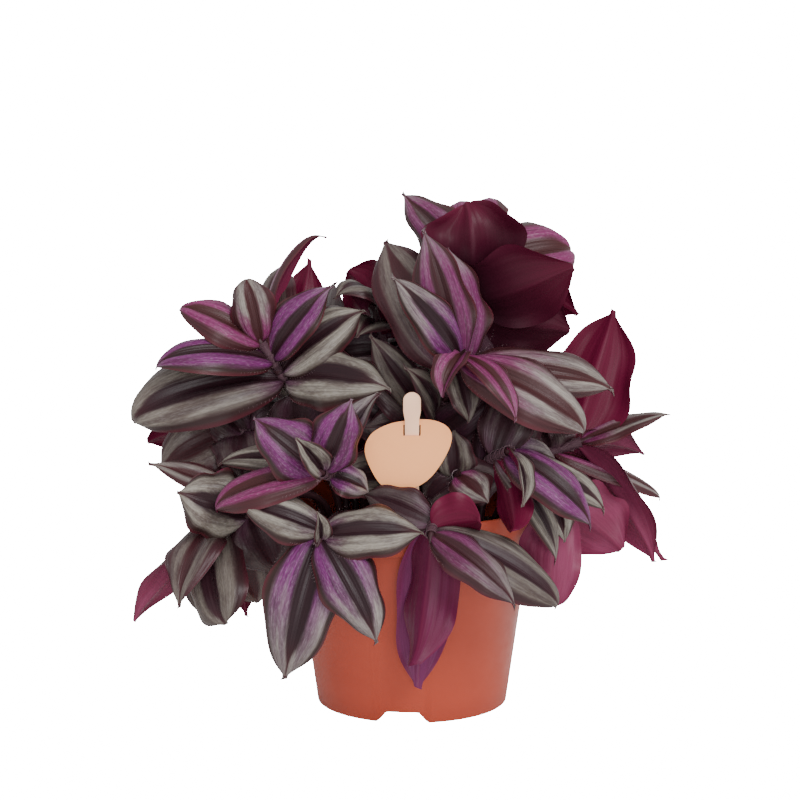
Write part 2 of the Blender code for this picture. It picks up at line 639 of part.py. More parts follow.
def blade_faces(rows, columns):
    """Triangles over the grid, mirrored about the midrib, with the whole last row as one point at the tip."""
    faces = []
    row_points = columns + 1
    tip = rows * row_points
    for row in range(rows):
        for column in range(columns):
            a = row * row_points + column
            b = a + 1
            c = a + row_points
            d = c + 1
            if row == rows - 1:
                faces.append((a, b, tip))
            elif column < columns / 2:
                faces += [(a, b, d), (a, d, c)]
            else:
                faces += [(a, b, c), (b, d, c)]
    return faces


def blade_points(leaf, spare=0.0):
    """The blade's points with one at the tip, its triangles and its point normals."""
    form = SHAPES[leaf[5]]
    grid = blade_grid(leaf, form["rows"], form["columns"], spare)
    across = np.gradient(grid, axis=1)
    down = np.gradient(grid, axis=0)
    normals = np.cross(across, down)
    normals[-1] = normals[-2]
    normals /= np.linalg.norm(normals, axis=2)[:, :, None]
    count = form["rows"] * (form["columns"] + 1) + 1
    middle = form["columns"] // 2
    points = grid.reshape(-1, 3)[:count].copy()
    flat_normals = normals.reshape(-1, 3)[:count].copy()
    points[-1] = grid[-1, middle]
    flat_normals[-1] = normals[-2, middle]
    return points, blade_faces(form["rows"], form["columns"]), flat_normals


def blade_hull(leaf, fatter, from_row=0):
    """A search tree of both faces of the blade and its edge, fatter mm proud of the true blade all round."""
    points, faces, normals = blade_points(leaf, fatter * MM)
    form = SHAPES[leaf[5]]
    first = from_row * (form["columns"] + 1)
    faces = [face for face in faces if min(face) >= first]
    thick = (LEAF_THICKNESS / 2 + fatter) * MM
    count = len(points)
    both = np.vstack((points + normals * thick, points - normals * thick))
    shell = list(faces) + [tuple(index + count for index in reversed(face)) for face in faces]
    edges = {}
    for face in faces:
        for start, end in zip(face, face[1:] + face[:1]):
            edges[(start, end)] = (end, start) not in edges
            if (end, start) in edges:
                edges[(end, start)] = False
    for (start, end), open_edge in edges.items():
        if open_edge:
            shell += [(start, end, end + count), (start, end + count, start + count)]
    low = both.min(axis=0)
    high = both.max(axis=0)
    return BVHTree.FromPolygons(both.tolist(), shell), low, high


def boxes_meet(first, second):
    """True where two (tree, low, high) hulls' boxes overlap."""
    return np.all(first[1] <= second[2]) and np.all(second[1] <= first[2])


def hulls_meet(first, second):
    """True where two hulls' surfaces cross."""
    return boxes_meet(first, second) and bool(first[0].overlap(second[0]))


def object_hull(thing):
    """The search tree of an object as its modifiers leave it."""
    bpy.context.view_layer.update()
    depsgraph = bpy.context.evaluated_depsgraph_get()
    mesh = bpy.data.meshes.new_from_object(thing.evaluated_get(depsgraph))
    mesh.transform(thing.matrix_world)
    points = np.array([vertex.co[:] for vertex in mesh.vertices])
    faces = [tuple(face.vertices) for face in mesh.polygons]
    bpy.data.meshes.remove(mesh)
    return BVHTree.FromPolygons(points.tolist(), faces), points.min(axis=0), points.max(axis=0)


def hand_choices(line, row):
    """The leaf as placed by hand, then the same leaf deeper or nearer, slid, rolled, arched or slimmer."""
    start, (across, up, front), width, face, arch, shape = row
    for slim in SLIMMINGS:
        for extra in EXTRA_ARCHES:
            for roll in ROLLS:
                for slide in SLIDES:
                    base, _ = from_tip(line, (start + slide) * MM)
                    for shift in SHIFTS:
                        tip = sight(across, up, front + shift)
                        along = unit(tip - base)
                        upper = looking(*face)
                        upper = upper * math.cos(roll) + np.cross(along, upper) * math.sin(roll)
                        yield base, tip, upper, width * slim, arch + extra, shape


def rule_choices(line, start, reference, turn, length, lift):
    """A leaf set round its stem by turn and lift, then the same leaf turned, lifted or smaller."""
    base, axis = from_tip(line, start * MM)
    first = unit(reference - axis * np.dot(reference, axis))
    second = np.cross(axis, first)
    for scale in RULE_SCALES:
        for tilt in RULE_TILTS:
            for swing in RULE_SWINGS:
                round_stem = math.cos(turn + swing) * first + math.sin(turn + swing) * second
                way = unit(round_stem * math.cos(lift + tilt) + axis * math.sin(lift + tilt))
                tip = base + (way - np.array((0.0, 0.0, RULE_SAG))) * length * scale * MM
                face = unit(axis * RULE_FACE_ALONG_STEM + np.array((0.0, 0.0, RULE_FACE_UP)))
                yield base, tip, face, length * scale * BACK_LEAF_SLENDER, RULE_ARCH, "plain"


def inside_crown(tip):
    """True for a tip inside the crown's egg and above the lowest leaf's height."""
    offset = (np.asarray(tip) / MM - np.array(CROWN_CENTRE)) / np.array(CROWN_RADII)
    return float(np.dot(offset, offset)) <= 1.0 and tip[2] > LOWEST_LEAF * MM


def stays_behind(leaf):
    """True for a leaf whose tip doesn't come forward of its base by more than BEHIND_FORWARD."""
    return leaf[1][1] > leaf[0][1] - BEHIND_FORWARD * MM


def choose(name, choices, placed, obstacles):
    """The first choice clear of other stems that crosses none, or the fewest, of its own stem's leaves."""
    own = [outer for owner, _, outer in placed if owner == name]
    others = [hull for owner, hull, _ in placed if owner != name]
    others += [hull for owner, hull in obstacles.items() if owner != name]
    best = None
    fewest = len(own) + 1
    for leaf in choices:
        fat = blade_hull(leaf, CLEARANCE)
        if any(hulls_meet(fat, other) for other in others):
            continue
        outer = blade_hull(leaf, OWN_CLEARANCE, OUTER_FROM_ROW)
        crossed = sum(hulls_meet(outer, other) for other in own)
        if crossed < fewest:
            best = leaf
            fewest = crossed
        if crossed == 0:
            break
    return best


def place_leaves(lines, obstacles):
    """Every stem's leaves, as a list for each stem: the hand-placed ones first, then those set by rule."""
    leaves = {name: [] for name in lines}
    placed = []

    def keep(name, leaf, label):
        if leaf is None:
            print(f"no room for {label}")
            return
        leaves[name].append(leaf)
        placed.append((name, blade_hull(leaf, 0.0), blade_hull(leaf, 0.0, OUTER_FROM_ROW)))

    for name, stem in STEMS.items():
        for index, row in enumerate(stem["leaves"]):
            choices = hand_choices(lines[name], row)
            keep(name, choose(name, choices, placed, obstacles), f"{name} leaf {index + 1}")
    for name in BEHIND_STEMS:
        for start, turn, length in zip(BEHIND_STARTS, BEHIND_TURNS, BEHIND_LENGTHS):
            choices = rule_choices(lines[name], start, np.array(BEHIND_WAY), turn, length, BEHIND_LIFT)
            choices = (leaf for leaf in choices if inside_crown(leaf[1]) and stays_behind(leaf))
            keep(name, choose(name, choices, placed, obstacles), f"{name} leaf behind at {start}")
    draw = random.Random(SEED)
    for number, (side, _, _, count) in enumerate(BACK_STEMS):
        name = f"back_{number + 1}"
        first_turn = draw.uniform(0.0, 2 * math.pi)
        outward = np.array((math.cos(math.radians(side)), math.sin(math.radians(side)), BACK_WAY_UP))
        for index in range(count):
            share = index / (count - 1)
            jitter = 1 + draw.uniform(-1, 1) * BACK_LEAF_JITTER
            length = np.interp(share, (0, 1), BACK_LEAF_LENGTHS) * jitter
            lift = float(np.interp(share, (0, 1), BACK_LEAF_LIFT))
            turn = first_turn + index * GOLDEN_TURN
            start = BACK_FIRST_START + index * BACK_LEAF_SPACING
            choices = rule_choices(lines[name], start, outward, turn, length, lift)
            choices = (leaf for leaf in choices if inside_crown(leaf[1]))
            keep(name, choose(name, choices, placed, obstacles), f"{name} leaf {index + 1}")
    return leaves


def make_blade(name, leaf, collection):
    """One blade as its own object: the open surface, thickened."""
    points, faces, _ = blade_points(leaf)
    mesh = bpy.data.meshes.new(name)
    mesh.from_pydata(points.tolist(), [], faces)
    blade = place(name, mesh, collection)
    solidify = blade.modifiers.new("Thickness", "SOLIDIFY")
    solidify.thickness = LEAF_THICKNESS * MM
    solidify.offset = 0.0
    return blade


def open_edges(mesh):
    """How many edges don't have exactly two faces."""
    shape = bmesh.new()
    shape.from_mesh(mesh)
    count = sum(1 for edge in shape.edges if len(edge.link_faces) != 2)
    shape.free()
    return count


def keep_outer_shell(mesh):
    """Drop the shells of the pockets that crossing leaves enclose, so that the body is solid there."""
    shape = bmesh.new()
    shape.from_mesh(mesh)
    unseen = set(shape.faces)
    shells = []
    while unseen:
        shell = set()
        ahead = [unseen.pop()]
        while ahead:
            face = ahead.pop()
            shell.add(face)
            near = {other for edge in face.edges for other in edge.link_faces} & unseen
            unseen -= near
            ahead.extend(near)
        shells.append(shell)
    shells.sort(key=len)
    for shell in shells[:-1]:
        print(f"{mesh.name}: a shell of {len(shell)} faces left out")
        bmesh.ops.delete(shape, geom=list(shell), context="FACES")
    shape.to_mesh(mesh)
    shape.free()


def without_flat_splits(mesh):
    """The mesh with the flat faces joined that the union has split, or as it was where that would open it."""
    joined = mesh.copy()
    shape = bmesh.new()
    shape.from_mesh(mesh)
    bmesh.ops.dissolve_limit(
        shape, angle_limit=FLAT_ANGLE, verts=shape.verts, edges=shape.edges, use_dissolve_boundaries=False)
    shape.to_mesh(joined)
    shape.free()
    return mesh if open_edges(joined) else joined


def fuse(stem, leaves, collection, solver="EXACT"):
    """The stem and its blades as one body, by one union on a collection."""
    name = stem.name
    blades = bpy.data.collections.new(f"{name}_blades")
    bpy.context.scene.collection.children.link(blades)
    for index, leaf in enumerate(leaves):
        make_blade(f"{name}_blade_{index + 1}", leaf, blades)
    union = stem.modifiers.new("Leaves", "BOOLEAN")
    union.operation = "UNION"
    union.operand_type = "COLLECTION"
    union.collection = blades
    union.solver = solver
    bpy.context.view_layer.update()
    depsgraph = bpy.context.evaluated_depsgraph_get()
    mesh = bpy.data.meshes.new_from_object(stem.evaluated_get(depsgraph))
    for blade in list(blades.objects):
        bpy.data.objects.remove(blade, do_unlink=True)
    bpy.data.collections.remove(blades)
    if open_edges(mesh) and solver == "EXACT":
        stem.modifiers.clear()
        return fuse(stem, leaves, collection, "MANIFOLD")
    keep_outer_shell(mesh)
    mesh = without_flat_splits(mesh)
    bpy.data.objects.remove(stem, do_unlink=True)
    fused = place(name, mesh, collection)
    fused.data.materials.clear()
    fused.data.materials.append(painted("leaf", f"{name}_leaf"))
    faces = len(mesh.polygons)
    print(f"{name}: {len(leaves)} leaves, {faces} faces, {open_edges(mesh)} open edges, {solver}")
    return fused


def card_plane():
    """The card's turn: it faces the viewer, with x across and y up it."""
    forward, upward = view_axes()
    return Matrix((
        (1.0, 0.0, 0.0),
        (0.0, upward[1], -forward[1]),
        (0.0, upward[2], -forward[2]),
    )).to_4x4()


def make_card(collection):
    """The label card: a rounded three-cornered sheet with a slit for the stick."""
    centre = Vector(sight(*SLIT_AT, SLIT_FRONT))
    turn = card_plane()
    inverse = turn.inverted()
    curve = bpy.data.curves.new("label_card", "CURVE")
    curve.dimensions = "2D"
    curve.fill_mode = "BOTH"
    curve.extrude = CARD_THICKNESS / 2 * MM
    curve.resolution_u = CARD_CORNER_STEPS
    outline = curve.splines.new("BEZIER")
    outline.bezier_points.add(len(CARD_OUTLINE) - 1)
    forward, _ = view_axes()
    for point, (across, up) in zip(outline.bezier_points, CARD_OUTLINE):
        on_card = inverse @ (on_facing_plane(across, up, centre, forward) - centre)
        point.co = (on_card.x, on_card.y, 0.0)
        point.handle_left_type = point.handle_right_type = "AUTO"
    outline.use_cyclic_u = True
    slit = curve.splines.new("POLY")
    slit.points.add(3)
    half_width, half_height = (value / 2 * MM for value in SLIT_SIZE)
    corners = ((-1, -1), (1, -1), (1, 1), (-1, 1))
    for point, (sign_x, sign_y) in zip(slit.points, corners):
        point.co = (sign_x * half_width, sign_y * half_height, 0.0, 1.0)
    slit.use_cyclic_u = True
    card = place("label_card_sheet", curve, collection)
    card.matrix_world = Matrix.Translation(centre) @ turn
    card = baked(card, "label_card", collection)
    card.data.materials.append(painted("peach_card", "peach_card"))
    return card


def on_facing_plane(across, up, centre, forward):
    """The point seen at (across, up) on the plane through centre that faces the viewer."""
    near = Vector(sight(across, up, 0.0))
    ray = Vector(sight(across, up, 1.0)) - near
    share = (centre - near).dot(Vector(forward)) / ray.dot(Vector(forward))
    return near + ray * share


def stick_turn():
    """The stick's turn: x across it, y up it, leaning toward the viewer."""
    return Matrix.Rotation(math.pi / 2 + STICK_LEAN, 4, "X")


def make_stick(collection):
    """The label's stick: a flat strip with a round top and a narrower neck, pointed at its foot."""
    top = STICK_ABOVE_SLIT
    bottom = -STICK_BELOW_SLIT
    round_radius = STICK_WIDTH / 2
    neck = STICK_NECK_WIDTH / 2
    right = [
        (round_radius * math.cos(turn), top - round_radius + round_radius * math.sin(turn))
        for turn in np.linspace(math.pi / 2, 0.0, STICK_TOP_STEPS)
    ]
    right += [
        (round_radius, top - STICK_NECK_FROM_TOP[0]),
        (neck, top - STICK_NECK_FROM_TOP[1]),
        (neck, bottom + STICK_POINT_LENGTH),
        (STICK_POINT_HALF, bottom),
    ]
    left = [(-x, y) for x, y in reversed(right[1:])]
    curve = bpy.data.curves.new("label_stick", "CURVE")
    curve.dimensions = "2D"
    curve.fill_mode = "BOTH"
    curve.extrude = STICK_THICKNESS / 2 * MM
    outline = curve.splines.new("POLY")
    outline.points.add(len(right) + len(left) - 1)
    for point, (x, y) in zip(outline.points, right + left):
        point.co = (x * MM, y * MM, 0.0, 1.0)
    outline.use_cyclic_u = True
    stick = place("label_stick_strip", curve, collection)
    centre = Vector(sight(*SLIT_AT, SLIT_FRONT))
    stick.matrix_world = Matrix.Translation(centre) @ stick_turn()
    stick = baked(stick, "label_stick", collection)
    stick.data.materials.append(painted("pale_card", "pale_card"))
    return stick


def cut_stick_hole(soil, cutters):
    """The narrow hole in the soil that the stick stands in."""
    mesh = bpy.data.meshes.new("hole_stick")
    block = bmesh.new()
    bmesh.ops.create_cube(block, size=1.0)
    clear = 2 * STEM_HOLE_GAP
    size = Vector((STICK_NECK_WIDTH + clear, STICK_HOLE_DEPTH * 2, STICK_THICKNESS + clear)) * MM
    bmesh.ops.scale(block, verts=block.verts, vec=size)
    block.to_mesh(mesh)
    block.free()
    cutter = place("hole_stick", mesh, cutters)
    centre = Matrix.Translation(Vector(sight(*SLIT_AT, SLIT_FRONT)))
    down = Matrix.Translation((0.0, (STICK_HOLE_DEPTH - STICK_BELOW_SLIT) * MM - GAP, 0.0))
    cutter.matrix_world = centre @ stick_turn() @ down
    add_boolean(soil, as_cutter(cutter), "DIFFERENCE")


def shade_round(thing):
    """Smooth shading with sharp edges kept."""
    thing.data.shade_smooth()
    thing.data.set_sharp_from_angle(angle=SHARP_ANGLE)


def triangle_count(thing):
    """How many triangles an object has as its modifiers leave it."""
    depsgraph = bpy.context.evaluated_depsgraph_get()
    mesh = bpy.data.meshes.new_from_object(thing.evaluated_get(depsgraph))
    count = sum(len(face.vertices) - 2 for face in mesh.polygons)
    bpy.data.meshes.remove(mesh)
    return count


def back_head(side, reach, height):
    """A back stem's growing tip."""
    turn = math.radians(side)
    return np.array((reach * math.cos(turn), reach * math.sin(turn), height)) * MM


def main():
    """Build the whole plant."""
    clear_scene()
    collection = new_collection("potted_tradescantia")
    cutters = new_collection("cutters")
    lines = {}
    feet = {}
    for name, stem in STEMS.items():
        feet[name] = stem["foot"]
        lines[name] = stem_line(stem["foot"], sight(*stem["head"]), stem["aim"])
    for number, (side, reach, height, _) in enumerate(BACK_STEMS):
        name = f"back_{number + 1}"
        turn = math.radians(side)
        radius = BACK_FOOT_RADIUS * min(1.0, reach / FULL_FOOT_REACH)
        feet[name] = (radius * math.cos(turn), radius * math.sin(turn))
        outward = (math.cos(turn), math.sin(turn), HIGH_AIM if height > HIGH_STEM else 0.0)
        lines[name] = stem_line(feet[name], back_head(side, reach, height), outward)

    pot = make_pot(collection, cutters)
    soil = make_soil(collection, cutters, feet)
    cut_stick_hole(soil, cutters)
    card = make_card(collection)
    stick = make_stick(collection)
    stems = {name: make_stem(f"stem_{name}", line, collection) for name, line in lines.items()}
    obstacles = {thing.name: object_hull(thing) for thing in (pot, soil, card, stick)}
    obstacles.update({name: object_hull(stem) for name, stem in stems.items()})
    for first in obstacles:
        for second in obstacles:
            if first < second and hulls_meet(obstacles[first], obstacles[second]):
                print(f"{first} crosses {second}")
    leaves = place_leaves(lines, obstacles)
    for name, stem in stems.items():
        fuse(stem, leaves[name], collection)
    print(f"{sum(triangle_count(thing) for thing in collection.objects)} triangles in all")
    for thing in (pot, soil, stick):
        shade_round(thing)
    cutters.hide_render = True


main()
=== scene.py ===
# %% [markdown]
# # A potted tradescantia
#
# This lesson dresses a plain CAD model of a trailing houseplant: a nursery pot, its soil, a card label on a
# stick, and two dozen leafy stems. The CAD model is loaded first, because every new piece has to sit where
# its plain solid sits.

# %% Load the CAD model
import math
import random
from collections import namedtuple
from itertools import product
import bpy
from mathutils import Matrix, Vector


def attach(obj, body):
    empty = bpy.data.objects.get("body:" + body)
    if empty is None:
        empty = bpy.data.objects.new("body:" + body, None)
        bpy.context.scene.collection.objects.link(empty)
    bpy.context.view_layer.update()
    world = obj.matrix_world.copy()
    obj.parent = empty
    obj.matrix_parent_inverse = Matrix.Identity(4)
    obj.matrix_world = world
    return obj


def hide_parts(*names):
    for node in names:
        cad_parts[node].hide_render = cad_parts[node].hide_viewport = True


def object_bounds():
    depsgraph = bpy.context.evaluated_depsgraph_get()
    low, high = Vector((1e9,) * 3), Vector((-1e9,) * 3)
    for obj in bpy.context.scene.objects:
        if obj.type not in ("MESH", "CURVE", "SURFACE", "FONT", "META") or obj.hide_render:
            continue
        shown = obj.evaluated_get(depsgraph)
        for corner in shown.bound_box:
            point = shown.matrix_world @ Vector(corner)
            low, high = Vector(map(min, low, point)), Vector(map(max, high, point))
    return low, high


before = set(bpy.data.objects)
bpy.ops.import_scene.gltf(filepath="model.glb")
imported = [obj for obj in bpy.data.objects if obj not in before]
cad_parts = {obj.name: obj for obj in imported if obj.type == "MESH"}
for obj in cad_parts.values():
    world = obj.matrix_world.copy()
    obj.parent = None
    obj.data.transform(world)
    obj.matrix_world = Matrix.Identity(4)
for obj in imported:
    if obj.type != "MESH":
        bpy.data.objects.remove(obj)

from types import SimpleNamespace

import bpy
import numpy as np
from mathutils.kdtree import KDTree

cad_low, cad_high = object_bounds()
MM = 0.001
cad_size = (np.array(cad_high) - cad_low) / MM
print(len(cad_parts), "solids,", cad_size.round(1).tolist(), "mm")

# %% [markdown]
# ## The viewer
#
# The plant was measured as a viewer in front sees it: so far across and so far up on a plane through the
# foot of the pot, and so far in front of the pot's axis. One function turns such a sighting into a point in
# space.

# %% Sightings
VIEW_DISTANCE = 1500.0
VIEW_TILT = math.radians(10.5)
VIEW_CENTRE = (-5.7, 141.4)
FORWARD = np.array((0.0, math.cos(VIEW_TILT), -math.sin(VIEW_TILT)))
UPWARD = np.array((0.0, math.sin(VIEW_TILT), math.cos(VIEW_TILT)))
RIGHTWARD = np.array((1.0, 0.0, 0.0))
EYE = VIEW_CENTRE[0] * RIGHTWARD + VIEW_CENTRE[1] * UPWARD - VIEW_DISTANCE * FORWARD


def unit(vectors):
    """Each vector divided by its own length."""
    vectors = np.asarray(vectors, dtype=float)
    return vectors / np.linalg.norm(vectors, axis=-1, keepdims=True)


def sight(across, up, front):
    """Where the line from the eye through (across, up) on the measuring plane meets y = -front, in metres."""
    seen = across * RIGHTWARD + up * UPWARD
    share = (-front - EYE[1]) / (seen[1] - EYE[1])
    return (EYE + (seen - EYE) * share) * MM


def looking(right, up, toward):
    """A direction given to the right, up and toward the viewer, with length 1."""
    return unit((right, -toward, up))


print("eye at", EYE.round(), "mm")

# %% [markdown]
# ## Camera
#
# A product picture is taken with a long lens from far off, which keeps its perspective flat. The lens could
# be set by eye, but here it follows from the distance and from how much of the measuring plane the picture
# shows.

# %% Camera
VIEW_WIDTH = 381.0
SENSOR = 36.0
FARTHEST = 100.0


def placed(name, data):
    """An object with this data, put into the scene."""
    new = bpy.data.objects.new(name, data)
    bpy.context.scene.collection.objects.link(new)
    return new


camera_data = bpy.data.cameras.new("front_camera")
camera_data.sensor_width = SENSOR
camera_data.lens = SENSOR * VIEW_DISTANCE / VIEW_WIDTH
camera_data.clip_end = FARTHEST
camera = placed("front_camera", camera_data)
camera.location = EYE * MM
camera.rotation_euler = (math.pi / 2 - VIEW_TILT, 0.0, 0.0)
bpy.context.scene.camera = camera
print(f"lens {camera_data.lens:.0f} mm at {VIEW_DISTANCE:.0f} mm")

# %% [markdown]
# ## Mesh helpers
#
# Nearly every piece here is a loft: a closed ring of points is repeated along a path, and neighbours are
# joined by four-sided faces. Working the rings out as one numpy array keeps the shape and its formula
# together.

# %% Rings
def turns(count):
    """Angles that share out one full turn."""
    return np.linspace(0.0, 2 * math.pi, count, endpoint=False)


def turned(radius, height, turn):
    """Points at this radius and height, turned about the upright axis."""
    return np.stack(np.broadcast_arrays(radius * np.cos(turn), radius * np.sin(turn), height), axis=-1)


def ring_faces(rows, columns, wrap=False):
    """Quads between neighbouring rings of a grid whose columns close round; wrap also joins the last ring."""
    row = np.arange(rows if wrap else rows - 1)[:, None] * columns
    below = (row + columns) % (rows * columns)
    column = np.arange(columns)
    after = (column + 1) % columns
    quads = np.stack((row + column, row + after, below + after, below + column), axis=-1)
    return quads.reshape(-1, 4).tolist()


def with_ends(rings, start, end):
    """The rings between two rows that repeat one point each."""
    first, last = (np.broadcast_to(point, rings[:1].shape) for point in (start, end))
    return np.concatenate((first, rings, last))


def pole_order(grid):
    """The grid's inner rows as one list, then the first row's single value and the last row's."""
    return np.vstack((grid[1:-1].reshape(-1, grid.shape[-1]), grid[:1, 0], grid[-1:, 0]))


def without_poles(grid, flip=False):
    """Points and faces of a grid whose first and last rows are single points; flip turns the faces over."""
    rows, columns = grid.shape[:2]
    start = (rows - 2) * columns
    last = start - columns
    faces = ring_faces(rows - 2, columns)
    pairs = list(zip(range(columns), [*range(1, columns), 0]))
    faces += [[start, after, column] for column, after in pairs]
    faces += [[start + 1, last + column, last + after] for column, after in pairs]
    return pole_order(grid), [face[::-1] for face in faces] if flip else faces


print("a ring of four points:", turned(1.0, 0.0, turns(4)).round(2).tolist())

# %% [markdown]
# ## Pieces
#
# Each piece stands for one plain solid. Edges sharper than an angle stay crisp.

# %% Pieces
MATERIALS = {}


def new_piece(name, shape, materials, node, smooth_angle, kinds=None):
    """A mesh object in metres that rides on the plant, stands for a CAD node and wears these materials."""
    mesh = bpy.data.meshes.new(name)
    mesh.from_pydata(shape[0].tolist(), [], shape[1])
    for material in materials:
        mesh.materials.append(MATERIALS[material])
    if kinds is not None:
        mesh.polygons.foreach_set("material_index", np.asarray(kinds, dtype=np.int32))
    mesh.validate()
    piece = placed(name, mesh)
    mesh.shade_smooth()
    mesh.set_sharp_from_angle(angle=math.radians(smooth_angle))
    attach(piece, "root")
    if node:
        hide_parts(node)
    print(name, len(mesh.polygons), "faces")
    return piece


# %% [markdown]
# ## Shader helpers
#
# A material is a small graph. Here a node's output is wrapped so that it can stand in a formula: each plus,
# minus or times adds a Math node. So a recipe reads like the sum that it is. Colours are written as they
# look on a screen and turned to linear light once.

# %% Values and nodes
class Value:
    """A node's output that can stand in a formula."""

    def __init__(self, socket):
        self.socket = socket

    def __add__(self, other):
        return sums("ADD", self, other)

    def __sub__(self, other):
        return sums("SUBTRACT", self, other)

    def __rsub__(self, other):
        return sums("SUBTRACT", other, self)

    def __mul__(self, other):
        return sums("MULTIPLY", self, other)


def paint(code):
    """A screen colour such as #8899AA as linear red, green, blue and alpha."""
    shares = np.array([int(code[index:index + 2], 16) for index in (1, 3, 5)]) / 255
    return *np.where(shares < 0.04045, shares / 12.92, ((shares + 0.055) / 1.055) ** 2.4).tolist(), 1.0


def put(socket, value):
    """Link a socket to a Value, or set it to a plain value or a screen colour."""
    if isinstance(value, Value):
        socket.id_data.links.new(value.socket, socket)
    else:
        socket.default_value = paint(value) if isinstance(value, str) else value


def add_node(tree, kind, inputs, *outputs, **settings):
    """The wanted outputs of a new node with these inputs and settings."""
    new = tree.nodes.new(kind)
    for key, value in settings.items():
        setattr(new, key, value)
    for key, value in inputs.items():
        put(new.inputs[key], value)
    return [Value(new.outputs[key]) for key in outputs]


def output_of(terms, kind, inputs, output, **settings):
    """One output of a new node in the tree that the first Value among the terms comes from."""
    tree = next(term.socket.id_data for term in terms if isinstance(term, Value))
    return add_node(tree, kind, inputs, output, **settings)[0]


def sums(operation, *terms, clamp=False):
    """The result of a Math node."""
    inputs = dict(enumerate(terms))
    return output_of(terms, "ShaderNodeMath", inputs, 0, operation=operation, use_clamp=clamp)


print("linear middle grey:", [round(share, 3) for share in paint("#808080")])

# %% [markdown]
# ## Masks, mixes and relief
#
# A pattern is made in three moves: noise is read at a place, a soft step turns it into a mask from 0 to 1,
# and the mask mixes two colours. The same masks push the surface's normal, so colour and relief belong
# together.

# %% Masks, mixes and relief
def held(value):
    """The value kept between 0 and 1."""
    return sums("ADD", value, 0.0, clamp=True)


def step(value, low, high):
    """0 below low, 1 above high, and smooth between them."""
    inputs = {"Value": value, "From Min": low, "From Max": high}
    return output_of([value], "ShaderNodeMapRange", inputs, "Result", interpolation_type="SMOOTHSTEP")


def mix(share, first, second):
    """Two colours mixed by a share."""
    return output_of([share], "ShaderNodeMix", {0: share, 6: first, 7: second}, 2, data_type="RGBA")


def noise(at, scale, detail=3.0, roughness=0.55):
    """Soft noise from 0 to 1 read at a vector."""
    inputs = dict(Vector=at, Scale=scale, Detail=detail, Roughness=roughness)
    return output_of([at], "ShaderNodeTexNoise", inputs, "Fac")


def bumped(height, strength, distance):
    """A normal pushed by a height, with the distance in metres."""
    inputs = dict(Height=height, Strength=strength, Distance=distance)
    return output_of([height], "ShaderNodeBump", inputs, "Normal")


def split(vector):
    """The x, y and z of a vector."""
    return add_node(vector.socket.id_data, "ShaderNodeSeparateXYZ", dict(Vector=vector), "X", "Y", "Z")


def new_tree(name):
    """The node tree of a new material, kept under its name."""
    MATERIALS[name] = bpy.data.materials.new(name)
    MATERIALS[name].use_nodes = True
    return MATERIALS[name].node_tree


def dress(tree, **inputs):
    """Give the tree's Principled shader these inputs, with _ for a space in their names."""
    for key, value in inputs.items():
        put(tree.nodes["Principled BSDF"].inputs[key.replace("_", " ")], value)


def object_place(tree):
    """The point's place on the object, which is its place in the room, as every piece sits at the origin."""
    return add_node(tree, "ShaderNodeTexCoord", {}, "Object")[0]


print("a recipe: new_tree(name), then masks and mixes, then dress(tree, ...)")

# %% [markdown]
# ## Shared effects
#
# Two effects turn up on more than one surface. Streaks are fine lines that run along a leaf, a stem or a
# card's fibres. Patches are soft and uneven, like a bloom on plastic. Each is one node group with named
# inputs.

# %% Streak and patch groups
def new_group(name, inputs, output):
    """A group, its inputs as Values and its one output's socket. An input with no default is a vector."""
    group = bpy.data.node_groups.new(name, "ShaderNodeTree")
    for label, default in inputs.items():
        kind = "NodeSocketVector" if default is None else "NodeSocketFloat"
        socket = group.interface.new_socket(label, in_out="INPUT", socket_type=kind)
        if default is not None:
            socket.default_value = default
    group.interface.new_socket(output, in_out="OUTPUT", socket_type="NodeSocketFloat")
    end = group.nodes.new("NodeGroupOutput").inputs[0]
    return group, add_node(group, "NodeGroupInput", {}, *inputs), end


streak_group, (across, along, count, length, seed), streak_end = new_group(
    "long_streaks", dict(Across=0.0, Along=0.0, Count=20.0, Length=2.0, Seed=0.0), "Streak")
streak_parts = dict(X=across * count, Y=along * length, Z=seed)
streak_at = add_node(streak_group, "ShaderNodeCombineXYZ", streak_parts, 0)[0]
put(streak_end, noise(streak_at, 1.0, 4.0))

patch_group, (patch_at, scale), patch_end = new_group("soft_patches", dict(Vector=None, Scale=40.0), "Patch")
put(patch_end, step(noise(patch_at, scale, 5.0, 0.6), 0.35, 0.7))


def streaks(across, along, count, length, seed=0.0):
    """The streak group placed in a material."""
    inputs = dict(Across=across, Along=along, Count=count, Length=length, Seed=seed)
    return output_of([across], "ShaderNodeGroup", inputs, "Streak", node_tree=streak_group)


def patches(at, scale):
    """The patch group placed in a material."""
    return output_of([at], "ShaderNodeGroup", dict(Vector=at, Scale=scale), "Patch", node_tree=patch_group)


print("groups:", streak_group.name, patch_group.name)

# %% [markdown]
# ## Floor and light
#
# A product picture like this one has a white sweep and big soft lamps. A wide floor fills the frame from
# this height. A soft sun from the upper right gives the shading, a weaker one beside the camera fills the
# gaps, and a white world lightens the shadows. Suns light the whole floor evenly, which small lamps don't.

# %% Floor, world and suns
FLOOR_REACH = 14.0
FLOOR_SIDES = 64
FLOOR_GLOW = 24.0
WHITE = (1.0, 1.0, 1.0, 1.0)
WORLD_STRENGTH = 0.95
SUNS = (("key_sun", 2.7, (-0.52, 0.80, -0.85), 30.0), ("fill_sun", 1.1, (-0.06, 1.0, -0.20), 16.0))

